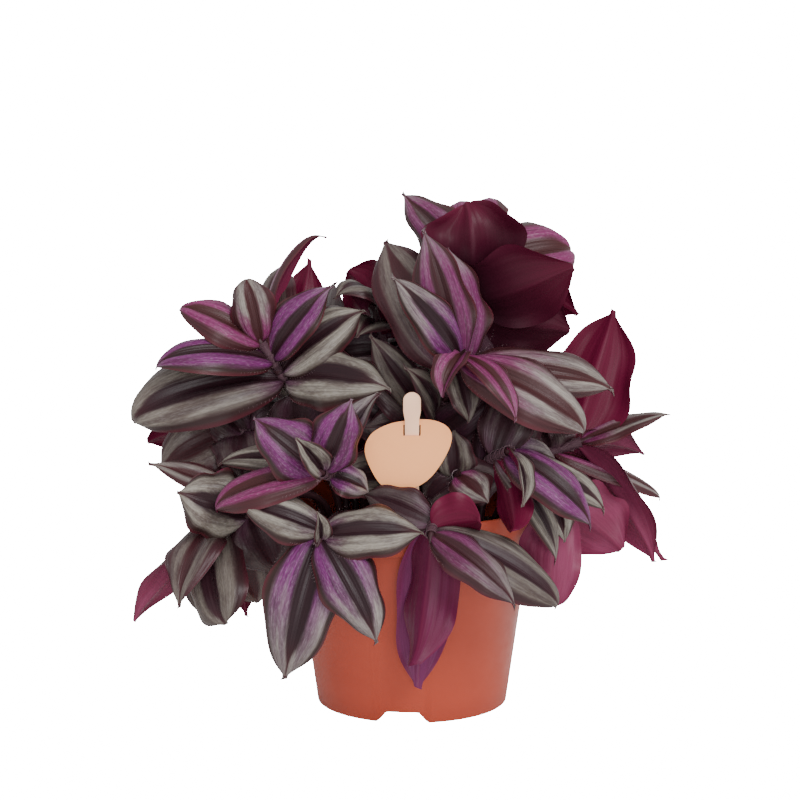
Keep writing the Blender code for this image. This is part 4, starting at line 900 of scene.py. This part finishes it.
# %% Blade formula
Leaf = namedtuple("Leaf", "base tip face width arch shape")
Form = namedtuple("Form", "rise droop hook widest power rows columns")
SHAPES = {
    "open": Form(0.60, 0.40, 0.72, 0.41, 0.62, 4, 2), "quilted": Form(0.80, 0.85, 0.76, 0.39, 0.64, 4, 4),
    "hooked": Form(0.75, 0.80, 0.98, 0.38, 0.68, 5, 4), "arched": Form(0.80, 0.85, 0.96, 0.45, 0.56, 4, 4),
    "cupped": Form(0.45, 0.15, 0.74, 0.47, 0.52, 4, 2), "folded": Form(1.25, 0.30, 0.70, 0.41, 0.62, 4, 2),
    "rolled": Form(0.10, -0.75, 0.72, 0.47, 0.54, 4, 4), "plain": Form(0.60, 0.40, 0.76, 0.41, 0.62, 4, 2),
}
LEAF_NECK_HALF = 1.4
SOLID_NECK_SHARE = 0.08
FINE_NECK_SHARE = 0.02
MIDRIB_RISE_AT = 0.28
PINCH_FROM = 0.62
PINCH_OVER = 0.3


def blade_width(u, leaf, neck_share):
    """Half the width: the neck, then u to a power times (1 - u) to a power, scaled to 1 at the widest."""
    form = SHAPES[leaf.shape]
    past_neck = np.clip((u - neck_share) / (1 - neck_share), 0.0, 1.0)
    tip_power = form.power * (1 - form.widest) / form.widest
    outline = (past_neck / form.widest) ** form.power * ((1 - past_neck) / (1 - form.widest)) ** tip_power
    return (leaf.width / 2 * outline + LEAF_NECK_HALF * (1 - u) ** 6) * MM


def blade_surface(leaf, u, v, neck_share, groove=0.0, twist=0.0, pinch=0.0, roll=0.0):
    """The blade's middle surface: midrib(u) + half(u) * (v * side + (rise |v| - droop v^2) * normal).

    groove rounds the fold at the midrib: |v| becomes the root of v squared plus groove squared. twist turns
    side and normal about the midrib by twist * u, pinch draws the tip out finer, and roll bends the margins
    down by roll * v^4.
    """
    form = SHAPES[leaf.shape]
    length = np.linalg.norm(leaf.tip - leaf.base)
    along = (leaf.tip - leaf.base) / length
    out = unit(leaf.face - along * np.dot(leaf.face, along))
    side = np.cross(along, out)
    rise = out * leaf.arch * length * 4 / 3
    pulls = [leaf.base + along * share * length + rise for share in (MIDRIB_RISE_AT, form.hook)]
    midrib = bezier((leaf.base, *pulls, leaf.tip), u)
    normal = np.cross(side, unit(np.gradient(midrib, axis=0)))
    angle = (twist * u)[:, None]
    cos, sin = np.cos(angle), np.sin(angle)
    side, normal = side * cos + normal * sin, normal * cos - side * sin
    fine_tip = 1 - pinch * np.clip((u - PINCH_FROM) / PINCH_OVER, 0.0, 1.0) ** 2
    half = (blade_width(u, leaf, neck_share) * fine_tip)[:, None, None]
    away = np.sqrt(v * v + groove * groove) - groove
    lift = (form.rise * away - form.droop * v * v - roll * v ** 4)[:, None]
    return midrib[:, None] + half * (v[:, None] * side[:, None] + lift * normal[:, None])


print("leaf shapes:", ", ".join(SHAPES))

# %% [markdown]
# ## Which way each leaf was bent
#
# When the solids were made, a leaf that would have crossed another stem's leaf was bent clear of it by
# trying a list of small changes. Here the same list is tried, and the change is taken whose outline points
# are corners of the solid. So the fine leaf lies where its solid does.

# %% The changes that were tried
HAND_CHANGES = (
    (1.0, 0.88), (0.0, 0.07, -0.07), (0.0, 0.35, -0.35), (0.0, 4.0), (0, 5, -5, 10, -10, 16, -16, 23, -23),
)
RULE_CHANGES = (
    (1.0, 0.88, 0.76), (0.0, 0.25, -0.25, 0.5, -0.5), (0.0, 0.22, -0.22, 0.44, -0.44, 0.66, -0.66),
)
RULE_DROP = 0.12
RULE_WIDTH = 0.48
RULE_ARCH = 0.12
RULE_FACE_ALONG = 0.8
RULE_FACE_UP = 0.6


def run_along(line):
    """How far along a line each of its points lies."""
    return np.append(0.0, np.cumsum(np.linalg.norm(np.diff(line, axis=0), axis=1)))


def on_line(line, distances):
    """The points this far along a line."""
    return np.stack([np.interp(distances, run_along(line), column) for column in line.T], axis=-1)


def from_tip(line, distance):
    """The point on a stem's line this far from its tip, and the way that the stem runs there."""
    back = line[::-1]
    index = min(int(np.searchsorted(run_along(back), distance, side="right")), len(back) - 1) - 1
    return on_line(back, distance), unit(back[index] - back[index + 1])


def hand_choices(line, row):
    """The leaf as placed, then the same leaf nearer or deeper, slid, rolled, arched or slimmer."""
    start, (across, up, front), width, face, arch, shape, _ = row
    upper = looking(*face)
    for slim, extra, roll, slide, nearer in product(*HAND_CHANGES):
        base, _ = from_tip(line, (start + slide) * MM)
        tip = sight(across, up, front + nearer)
        rolled = upper * math.cos(roll) + np.cross(unit(tip - base), upper) * math.sin(roll)
        yield Leaf(base, tip, rolled, width * slim, arch + extra, shape)


def rule_choices(line, start, reference, turn, length, lift):
    """A leaf set round its stem by turn and lift from a reference way, then turned, lifted or smaller."""
    base, axis = from_tip(line, start * MM)
    first = unit(reference - axis * np.dot(reference, axis))
    second = np.cross(axis, first)
    face = unit(axis * RULE_FACE_ALONG + np.array((0.0, 0.0, RULE_FACE_UP)))
    for scale, tilt, swing in product(*RULE_CHANGES):
        round_stem = math.cos(turn + swing) * first + math.sin(turn + swing) * second
        way = unit(round_stem * math.cos(lift + tilt) + axis * math.sin(lift + tilt))
        tip = base + (way - np.array((0.0, 0.0, RULE_DROP))) * length * scale * MM
        yield Leaf(base, tip, face, length * scale * RULE_WIDTH, RULE_ARCH, "plain")


print("changes to try, by hand and by rule:", [math.prod(map(len, c)) for c in (HAND_CHANGES, RULE_CHANGES)])

# %% [markdown]
# ## Finding the leaves
#
# A search tree holds the corners of each stem's solid. A leaf counts as found where its tip and most of its
# outline lie on corners, and the first change that is found is kept, with the leaf's tint.

# %% Find each leaf in its solid
FOUND_WITHIN = 0.0006
FOUND_SHARE = 0.7
BEHIND_STEMS = ("centre_high", "top", "left_high", "right_low", "right_out", "left_mid", "centre_back")
BEHIND_LEAVES = ((14.0, 0.8, 52.0), (26.0, -0.8, 58.0), (38.0, 0.0, 60.0))
BEHIND_WAY = np.array((0.0, 1.0, 0.2))
BEHIND_LIFT = 0.15
GOLDEN_TURN = math.radians(137.5)
BACK_FIRST_START = 1.5
BACK_LEAF_SPACING = 8.0
BACK_LEAF_LENGTHS = (40.0, 64.0)
BACK_LEAF_LIFT = (0.75, -0.30)
BACK_LEAF_JITTER = 0.10
BACK_WAY_RISE = 0.05
OLD_TINTS = ("silver", "silver", "lilac", "purple", "rosy", "magenta")
YOUNG_TINTS = ("purple", "rosy", "magenta")
YOUNG_SHARE = 0.3
SEED = 2207


def corner_finder(name):
    """A search tree of the corners of a stem's solid."""
    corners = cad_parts[f"stem_{name}"].data.vertices
    tree = KDTree(len(corners))
    for index, corner in enumerate(corners):
        tree.insert(corner.co, index)
    tree.balance()
    return tree


def found_in(tree, leaf):
    """True where the leaf's tip and most of its outline's points lie within FOUND_WITHIN of corners."""
    if tree.find(leaf.tip)[2] > FOUND_WITHIN:
        return False
    form = SHAPES[leaf.shape]
    u = np.append(0.0, np.linspace(SOLID_NECK_SHARE, 1.0, form.rows))
    grid = blade_surface(leaf, u, np.linspace(-1.0, 1.0, form.columns + 1), SOLID_NECK_SHARE)
    outline = grid[2:-1, [0, -1]].reshape(-1, 3)
    return sum(tree.find(point)[2] < FOUND_WITHIN for point in outline) >= FOUND_SHARE * len(outline)


def keep_found(name, choices, tint):
    """Add the first choice that is found in the stem's solid."""
    leaf = next((leaf for leaf in choices if found_in(finders[name], leaf)), None)
    (missing if leaf is None else found_leaves[name]).append((leaf, tint))


finders = {name: corner_finder(name) for name in stem_lines}
found_leaves = {name: [] for name in stem_lines}
missing = []
for stem_name, stem in STEMS.items():
    for row in stem["leaves"]:
        keep_found(stem_name, hand_choices(stem_lines[stem_name], row), row[-1])
# Leaves behind the front stems take the dusk and olive tints, which carry painted shade.
for stem_name, (start, turn, length) in product(BEHIND_STEMS, BEHIND_LEAVES):
    choices = rule_choices(stem_lines[stem_name], start, BEHIND_WAY, turn, length, BEHIND_LIFT)
    keep_found(stem_name, choices, "dusk" if turn else "olive")
rule_draw = random.Random(SEED)
for number, (side_angle, _, _, count) in enumerate(BACK_STEMS):
    stem_name = f"back_{number + 1}"
    first_turn = rule_draw.uniform(0.0, 2 * math.pi)
    outward = turned(1.0, BACK_WAY_RISE, math.radians(side_angle))
    for index in range(count):
        share = index / (count - 1)
        jitter = 1 + rule_draw.uniform(-1, 1) * BACK_LEAF_JITTER
        length, lift = (np.interp(share, (0, 1), ends) for ends in (BACK_LEAF_LENGTHS, BACK_LEAF_LIFT))
        choices = rule_choices(stem_lines[stem_name], BACK_FIRST_START + index * BACK_LEAF_SPACING, outward,
                               first_turn + index * GOLDEN_TURN, length * jitter, lift)
        tints, tint = OLD_TINTS, number + 2 * (count - 1 - index)
        if share <= YOUNG_SHARE:
            tints, tint = YOUNG_TINTS, number
        keep_found(stem_name, choices, tints[tint % len(tints)])
print(sum(map(len, found_leaves.values())), "leaves found,", len(missing), "not in the solids")

# %% [markdown]
# ## Upper face
#
# The upper face has the plant's famous pattern: a dark middle, a broad silver stripe in each half and a dark
# margin. The stripes are purple or magenta near the base of a young leaf and turn silver toward its tip.
# Fine parallel veins run the whole length, with dark flecks between them and pale flecks that are a painted
# glint. The pattern follows the blade, so it reads the blade's own u and v from its UV map. How young and
# pink a leaf is, how mauve its underside is, partly as a painted sheen, and how much painted shade darkens it
# come from two attributes.

# %% Upper face
VEIN_LINES = 62.0


def blade_place(tree):
    """u, v, the distance away from the midrib, which is 1 at the margin, and the leaf's tones and painted
    shade, by name.
    """
    u, v, _ = split(add_node(tree, "ShaderNodeUVMap", {}, "UV", uv_map="blade")[0])
    colour, mauve = add_node(tree, "ShaderNodeAttribute", {}, "Color", "Alpha", attribute_name="leaf_tone")
    young, pink, seed = add_node(tree, "ShaderNodeSeparateColor", dict(Color=colour), "Red", "Green", "Blue")
    shade = add_node(tree, "ShaderNodeAttribute", {}, "Fac", attribute_name="leaf_shade")[0]
    away = sums("ABSOLUTE", v * 2.0 - 1.0)
    lines = sums("SINE", away * VEIN_LINES)
    return SimpleNamespace(u=u, v=v, away=away, lines=lines, young=young, pink=pink, mauve=mauve,
                           shade=shade, seed=seed * 40.0)


upper_tree = new_tree("leaf_upper")
at = blade_place(upper_tree)
veins = streaks(at.v, at.u, 46.0, 2.2, at.seed)
broad = streaks(at.v, at.u, 7.0, 3.0, at.seed)
flecks_and_glints = streaks(at.v, at.u, 64.0, 30.0, at.seed)

wandered = at.away + (broad * 0.26 - 0.13)
tip_near = step(at.u, 0.62, 0.97)
stripe = step(wandered - (tip_near * -0.26 + 0.31), -0.09, 0.07)
stripe = stripe * (1.0 - step(wandered - (at.pink * -0.16 + 0.84), -0.11, 0.06))
stripe = held(stripe * step(at.u, 0.0, 0.10) * (veins * 0.5 + 0.66))
# Painted shade also dims the stripes.
stripe = held(stripe * (at.shade * -0.7 + 1.0))
middle_vein = (1.0 - step(sums("ABSOLUTE", wandered - 0.52), 0.0, 0.07)) * (1.0 - step(at.u, 0.35, 0.75))

silver = mix(step(broad, 0.36, 0.60), mix(veins, "#3B362C", "#61594A"), mix(veins, "#575247", "#959081"))
violet = mix(step(broad, 0.34, 0.56), mix(veins, "#300A2A", "#541B4C"), mix(veins, "#400C3A", "#74296E"))
young_colour = mix(at.pink, violet, mix(veins, "#500E36", "#883264"))
young_here = at.young * 1.5 - (broad * 0.6 + at.u) + 0.02 - at.away * 0.15
stripe_colour = mix(step(young_here, -0.30, 0.15), mix(at.young * 0.4, silver, "#7D6883"), young_colour)
# Dark flecks, pale flecks that are a painted glint, and a dark vein down the middle of each stripe.
for mask, colour in ((step(flecks_and_glints, 0.48, 0.72) * 0.26, "#362327"),
                     ((1.0 - step(flecks_and_glints, 0.32, 0.52)) * 0.12, "#B8B0B4"), (middle_vein * 0.35, "#1F1018")):
    stripe_colour = mix(mask, stripe_colour, colour)
centre = mix(at.pink * 0.8, mix(veins, "#150910", "#28151B"), mix(veins, "#301316", "#4E2727"))
margin = mix(at.pink * 0.8, mix(veins, "#1D1112", "#352522"), mix(veins, "#301219", "#4E262C"))
margin = mix(step(at.away, 0.90, 0.985) * 0.6, margin, "#521D28")
dark_colour = mix(step(at.away, 0.4, 0.55), mix(tip_near * 0.5, centre, "#451B1F"), margin)
# Painted shade mixes the whole face towards a dark plum.
dress(upper_tree, Base_Color=mix(at.shade, mix(stripe, dark_colour, stripe_colour), "#2A1820"),
      Roughness=veins * 0.16 + 0.30, Specular_IOR_Level=0.2,
      Normal=bumped(at.lines * 0.35 + (flecks_and_glints * 0.4 + veins), 0.35, 0.0003))
print("upper face:", len(upper_tree.nodes), "nodes")

# %% [markdown]
# ## Underside
#
# The underside is one deep colour from wine red to mauve, plainer than the face, with the veins just showing.
# The mauve lies in soft patches and is partly the underside's own colour, partly a painted sheen. The margins
# are thinner and let more light through, so they are painted a touch lighter, and so is the keel.

# %% Underside
under_tree = new_tree("leaf_under")
at = blade_place(under_tree)
veins = streaks(at.v, at.u, 40.0, 1.6, at.seed)
broad = streaks(at.v, at.u, 3.0, 1.8, at.seed)
# Mauve in soft patches: partly the underside's own colour, partly a painted sheen.
mauve = mix(at.pink, mix(veins, "#4C1440", "#683262"), mix(veins, "#6C2440", "#86445B"))
mauve_and_sheen_share = at.mauve * (step(broad, 0.36, 0.66) * 0.45 + 0.50)
under_colour = mix(mauve_and_sheen_share, mix(veins, "#46051C", "#5A0A2B"), mauve)
under_colour = mix((1.0 - step(at.away, 0.0, 0.07)) * 0.35, under_colour, "#68273D")
under_colour = mix(step(at.away, 0.75, 1.0) * 0.35, under_colour, "#681937")
# Painted shade mixes the underside towards a dark plum.
dress(under_tree, Base_Color=mix(at.shade, under_colour, "#28101A"), Roughness=veins * 0.12 + 0.34,
      Specular_IOR_Level=0.13, Normal=bumped(at.lines * 0.3 + veins, 0.12, 0.00025))
print("underside:", len(under_tree.nodes), "nodes")

# %% [markdown]
# ## Stem and hair
#
# Stems are dark and streaked lengthwise, and their sheaths are paler and drier. Hairs are short, stiff and
# pale. One material does for stem and sheath, which are told apart by the same tone that marks a young leaf.

# %% Stem and hair
stem_tree = new_tree("stem_skin")
at = blade_place(stem_tree)
streak = streaks(at.v, at.u, 16.0, 9.0, at.seed)
stem_colour = mix(at.young, mix(streak, "#2A0F18", "#4B2F31"), mix(streak, "#492236", "#7C646B"))
# Painted shade mixes the stem and sheath skin towards a dark plum.
dress(stem_tree, Base_Color=mix(at.shade, stem_colour, "#241219"), Roughness=0.42, Specular_IOR_Level=0.3,
      Normal=bumped(streak, 0.4, 0.0003))
hair_tree = new_tree("leaf_hair")
dress(hair_tree, Base_Color=mix(noise(object_place(hair_tree), 900.0), "#6B5056", "#8F7C80"), Roughness=0.5)
print("materials:", ", ".join(MATERIALS))

# %% [markdown]
# ## The fine blade
#
# A fine blade is the middle surface given a thickness: each row is a ring that runs across the upper face
# and back across the underside, and the rings close to a point at the base and at the tip. Long low pleats
# follow the veins, the margins wave a little, and a keel stands out under the midrib. A flat card with a
# picture would be quicker, but it would have no edge and no relief.

# %% Fine blade
BLADE_ROWS = 28
BLADE_COLUMNS = 28
BLADE_THICKNESS = 0.5
THIN_BELOW = 3.0
KEEL_HEIGHT = 0.45
KEEL_WIDTH = 0.07
PLEAT_HEIGHT = 0.13
PLEATS = 4.0
WAVE_SHARE = 0.13
TIP_DROP = 0.045
GROOVE = 0.05
TWIST = 0.35
TIP_PINCH = 0.38
MARGIN_ROLL = 0.22
# A tint gives how young and pink a leaf is, how mauve its underside is, partly as a painted sheen, and its
# painted shade at the tip and at the base. Painted shade mixes a leaf towards a dark plum; dusk, murk, shadow
# and garnet carry the most, for leaves deep in the foliage or in the shadow of others.
Tint = namedtuple("Tint", "young pink mauve tip_shade base_shade")
TINTS = {
    "silver": Tint(0.24, 0.10, 0.25, 0.00, 0.00), "lilac": Tint(0.55, 0.05, 0.30, 0.00, 0.00),
    "purple": Tint(0.80, 0.15, 0.30, 0.00, 0.00), "magenta": Tint(0.85, 0.85, 0.45, 0.00, 0.00),
    "orchid": Tint(0.75, 0.55, 0.30, 0.05, 0.20), "rosy": Tint(0.42, 0.80, 0.45, 0.00, 0.00),
    "russet": Tint(0.25, 0.90, 0.20, 0.35, 0.35), "olive": Tint(0.15, 0.25, 0.15, 0.35, 0.35),
    "dusk": Tint(0.35, 0.55, 0.10, 0.60, 0.60), "murk": Tint(0.60, 0.95, 0.05, 0.75, 0.75),
    "shadow": Tint(0.60, 0.95, 0.05, 0.50, 0.95), "garnet": Tint(0.40, 0.80, 0.00, 0.22, 1.00),
    "wine": Tint(0.40, 0.80, 0.05, 0.05, 0.05), "plum": Tint(0.60, 0.25, 0.80, 0.00, 0.00),
    "mauve": Tint(0.50, 0.90, 1.00, 0.00, 0.00), "damson": Tint(0.60, 0.20, 0.38, 0.05, 0.10),
    "pewter": Tint(0.24, 0.10, 0.25, 0.20, 0.20), "heather": Tint(0.55, 0.60, 0.30, 0.25, 0.25),
}


def every_pair(first, second):
    """A grid of all pairs of two lists' values."""
    return np.stack(np.meshgrid(first, second, indexing="ij"), axis=-1)


def fine_blade(leaf, tint, seed):
    """Points, faces, blade coordinates, tones and material numbers of one leaf.

    The middle surface is moved along its normal by pleats, PLEAT_HEIGHT * cos(2 pi PLEATS |v|), and by margin
    waves, WAVE_SHARE * half width * |v|^3 * a sine along u. Then each side stands off by half the thickness
    times the root of 1 - v^4, and the underside by the keel as well.
    """
    u = np.linspace(0.0, 1.0, BLADE_ROWS)[:, None]
    v = np.linspace(-1.0, 1.0, BLADE_COLUMNS + 1)
    twist = TWIST * math.sin(40.0 * seed)
    surface = blade_surface(leaf, u[:, 0], v, FINE_NECK_SHARE, GROOVE, twist, TIP_PINCH, MARGIN_ROLL)
    normals = np.cross(np.gradient(surface, axis=1), np.gradient(surface, axis=0))
    normals[-1] = normals[-2]
    normals = unit(normals)
    half = blade_width(u, leaf, FINE_NECK_SHARE)
    body = np.sin(math.pi * u)
    away = np.abs(v)
    phase = (1.4 + 1.3 * seed) * u + 3.1 * seed + 0.37 * np.sign(v)
    waves = np.sin(2 * math.pi * phase) * away ** 3 * WAVE_SHARE * half * body
    pleats = np.cos(2 * math.pi * PLEATS * away) * PLEAT_HEIGHT * MM * body
    tip_drop = TIP_DROP * np.linalg.norm(leaf.tip - leaf.base) * np.clip((u - 0.75) / 0.25, 0.0, 1.0) ** 2
    surface = surface + normals * (waves + pleats - tip_drop)[:, :, None]
    thin = np.minimum(half / (THIN_BELOW * MM), 1.0)
    skin = BLADE_THICKNESS / 2 * MM * np.sqrt(1 - away ** 4) * thin
    keel = KEEL_HEIGHT * MM * np.exp(-(away / KEEL_WIDTH) ** 2) * thin * (1 - 0.8 * u)
    top = surface + normals * skin[:, :, None]
    bottom = surface - normals * (skin + keel)[:, :, None]
    rings = np.concatenate((top, bottom[:, -2:0:-1]), axis=1)
    points, faces = without_poles(with_ends(rings[:-1], rings[0].mean(axis=0), rings[-1, 0]))
    place = pole_order(every_pair(np.append(0.0, u), np.append(v, v[-2:0:-1]) / 2 + 0.5))
    look = TINTS[tint]
    # Painted shade, from the tint's tip value at the tip to its base value at the base, darker towards the
    # stem.
    shade = look.tip_shade + (look.base_shade - look.tip_shade) * (1 - place[:, :1]) ** 0.9
    tone = np.hstack((np.tile((look.young, look.pink, seed, look.mauve), (len(points), 1)), shade))
    return points, faces, place, tone, np.tile(np.repeat((0, 1), BLADE_COLUMNS), BLADE_ROWS)


print(len(TINTS), "tints,", BLADE_ROWS * 2 * BLADE_COLUMNS, "faces to a leaf")

# %% [markdown]
# ## Stem and sheath
#
# The stem is a tube with a swelling at each leaf and a pointed bud, and each leaf's sheath is a thin cup
# round the stem. A bevelled curve could make a tube, but rings worked out in one array can swell and close
# as well.

# %% Stem and sheath shapes
STEM_SIDES = 12
STEM_STEPS = 44
STEM_RADII = (2.0, 1.3)
# How much painted shade every stem and sheath gets.
STEM_SHADE = 0.4
ROOT_DEPTHS = np.linspace(26.0, 2.0, 5)[:, None]
BUD_REACHES = np.array((1.2, 2.6, 4.2, 5.4))[:, None]
BUD_SHARES = (0.95, 0.75, 0.42, 0.12)
SWELLING = 0.35
SWELLING_LENGTH = 1.6
SHEATH_BACKS = (8.0, 6.5, 5.0, 3.5, 2.0, 0.8, -0.6)
SHEATH_WALL = 0.35
SHEATH_RADIUS = 1.75
SHEATH_FLARE = 0.55
SHEATH_LIP = 0.5
AROUND = np.abs(np.linspace(-1.0, 1.0, STEM_SIDES, endpoint=False))


def rings_round(middles, radii, first, run, sides):
    """A ring round each middle, square to its run: middle + radius * (cos a * first + sin a * second)."""
    a = turns(sides)[:, None]
    second = np.cross(run, first)
    return middles[:, None] + radii * (np.cos(a) * first[:, None] + np.sin(a) * second[:, None])


def tube(line, radii, stem):
    """Rings round a line, whose first corners lie in the level way square to the lean of a stem."""
    lean = stem[-1] - stem[0]
    across = unit((-lean[1], lean[0], 0.0))
    run = unit(np.gradient(line, axis=0))
    first = unit(across - run * (run @ across)[:, None])
    return rings_round(line, radii[:, None, None], first, run, STEM_SIDES)


def plain_shape(points, faces, place, tone, kind):
    """The same five things as fine_blade, for a shape of one tone and one material."""
    return points, faces, place, np.tile(tone, (len(points), 1)), np.full(len(faces), kind)


def fine_stem(name, starts, seed):
    """The stem's tube, swollen where leaves start, with a pointed bud."""
    line = stem_line(*stem_ends[name], STEM_STEPS)[1:]
    root = line[0] - np.array((0.0, 0.0, 1.0)) * ROOT_DEPTHS * MM
    middle = np.vstack((root, line, line[-1] + unit(line[-1] - line[-2]) * BUD_REACHES * MM))
    travelled = run_along(middle) / MM
    from_head = travelled[-1 - len(BUD_REACHES)] - travelled
    radii = np.interp(travelled, (0.0, travelled[-1]), STEM_RADII)
    for start in starts:
        radii = radii + SWELLING * np.exp(-((from_head - start - 1.0) / SWELLING_LENGTH) ** 2)
    radii[-len(BUD_SHARES):] *= BUD_SHARES
    points, faces = without_poles(with_ends(tube(middle, radii * MM, line), middle[0], middle[-1]))
    place = pole_order(every_pair(np.concatenate(([0.0], travelled, travelled[-1:])) / 50.0, AROUND))
    return plain_shape(points, faces, place, (0.0, 0.0, seed, 1.0, STEM_SHADE), 2)


def fine_sheath(name, start, seed):
    """A thin cup round the stem below a leaf: a closed wall that flares from the stem to a loose rim."""
    line = stem_lines[name]
    steps = on_line(line[::-1], (start + np.array(SHEATH_BACKS)) * MM)
    flare = np.linspace(0.0, 1.0, len(steps))
    outer = (SHEATH_RADIUS + SHEATH_FLARE * flare + SHEATH_LIP * flare ** 4) * MM
    rings = np.concatenate((tube(steps, outer, line), tube(steps, outer - SHEATH_WALL * MM, line)[::-1]))
    place = every_pair(np.append(flare, flare[::-1]) * 0.2, AROUND)
    return plain_shape(rings.reshape(-1, 3), ring_faces(*rings.shape[:2], wrap=True), place.reshape(-1, 2),
                       (0.85, 0.0, seed, 1.0, STEM_SHADE), 2)


print("a stem has", STEM_SIDES, "sides, a sheath", len(SHEATH_BACKS), "rings in each wall")

# %% [markdown]
# ## Hairs
#
# Both margins of a real leaf's lower part carry sparse, stiff hairs. Blender's hair curves are another kind
# of object, so here each hair is a slim three-sided spike, in the same mesh as its leaf.

# %% Hair shapes
HAIR_SPAN = np.linspace(0.04, 0.30, 12)
HAIR_LENGTHS = (0.8, 1.7)
HAIR_RADIUS = 0.045
HAIR_SPREAD = 0.35


def hairs(roots, ways, lengths, seed):
    """A slim three-sided spike at each root, along its way."""
    first = unit(np.cross(ways, (0.31, 0.52, 0.79)))
    foot = rings_round(roots, HAIR_RADIUS * MM, first, ways, 3)
    points = np.concatenate((foot, (roots + ways * lengths[:, None])[:, None]), axis=1).reshape(-1, 3)
    pattern = np.array(((0, 1, 3), (1, 2, 3), (2, 0, 3), (2, 1, 0)))
    faces = (np.arange(len(roots))[:, None, None] * 4 + pattern).reshape(-1, 3)
    return plain_shape(points, faces.tolist(), np.zeros((len(points), 2)), (0.0, 0.0, seed, 1.0, 0.0), 3)


def leaf_hairs(leaf, draw):
    """The roots, outward ways and lengths of sparse hairs along both margins of a leaf's lower part."""
    rim = blade_surface(leaf, HAIR_SPAN, np.array((-1.0, -0.8, 0.8, 1.0)), FINE_NECK_SHARE)
    roots = np.concatenate((rim[:, 0], rim[:, 3]))
    ways = unit(np.concatenate((rim[:, 0] - rim[:, 1], rim[:, 3] - rim[:, 2])))
    ways = unit(ways + draw.normal(0.0, HAIR_SPREAD, ways.shape))
    return roots, ways, draw.uniform(*HAIR_LENGTHS, len(roots)) * MM


print("a leaf has", 2 * len(HAIR_SPAN), "hairs")

# %% [markdown]
# ## Leafy stems
#
# Every stem becomes one object that stands for its solid: stem, sheaths, leaves and hairs in one mesh, with
# the four materials given out face by face. Its blade coordinates and tones go with it as a UV map and
# attributes.

# %% Leafy stems
LEAFY_MATERIALS = ["leaf_upper", "leaf_under", "stem_skin", "leaf_hair"]
LEAFY_SMOOTH = 60.0
LINE_SAMPLES = 400
FIRST_SEED = 100


def leaf_starts(name):
    """How far from the stem's tip each leaf starts, in mm."""
    line = stem_lines[name][::-1]
    distances = np.linspace(0.0, run_along(line)[-1], LINE_SAMPLES)
    gaps = [np.linalg.norm(on_line(line, distances) - leaf.base, axis=1) for leaf, _ in found_leaves[name]]
    return distances[np.argmin(gaps, axis=1)] / MM


def join_shapes(shapes):
    """Several shapes as one: points stacked, and face numbers moved up past the points before them."""
    points, faces, places, tones, kinds = zip(*shapes)
    starts = np.cumsum([0, *map(len, points)]).tolist()
    moved = [[index + start for index in face] for start, group in zip(starts, faces) for face in group]
    return np.vstack(points), moved, np.vstack(places), np.vstack(tones), np.concatenate(kinds)


leafy_stems = []
for order, stem_name in enumerate(stem_lines):
    draw = np.random.default_rng(FIRST_SEED + order)
    starts = leaf_starts(stem_name)
    shapes = [fine_stem(stem_name, starts, draw.random())]
    hair_parts = []
    for (leaf, tint), start in zip(found_leaves[stem_name], starts):
        shapes.append(fine_blade(leaf, tint, draw.random()))
        shapes.append(fine_sheath(stem_name, start, draw.random()))
        hair_parts.append(leaf_hairs(leaf, draw))
    shapes.append(hairs(*map(np.concatenate, zip(*hair_parts)), draw.random()))
    points, faces, place, tone, kinds = join_shapes(shapes)
    node = f"stem_{stem_name}"
    piece = new_piece(f"leafy_{node}", (points, faces), LEAFY_MATERIALS, node, LEAFY_SMOOTH, kinds)
    corner = np.empty(len(piece.data.loops), dtype=np.int32)
    piece.data.loops.foreach_get("vertex_index", corner)
    piece.data.uv_layers.new(name="blade").data.foreach_set("uv", place[corner].ravel())
    attributes = piece.data.attributes
    attributes.new("leaf_tone", "FLOAT_COLOR", "POINT").data.foreach_set("color", tone[:, :4].ravel())
    attributes.new("leaf_shade", "FLOAT", "POINT").data.foreach_set("value", tone[:, 4].copy())
    leafy_stems.append(piece)
leaf_triangles = sum(len(face.vertices) - 2 for piece in leafy_stems for face in piece.data.polygons)
print(len(leafy_stems), "leafy stems,", leaf_triangles, "triangles")
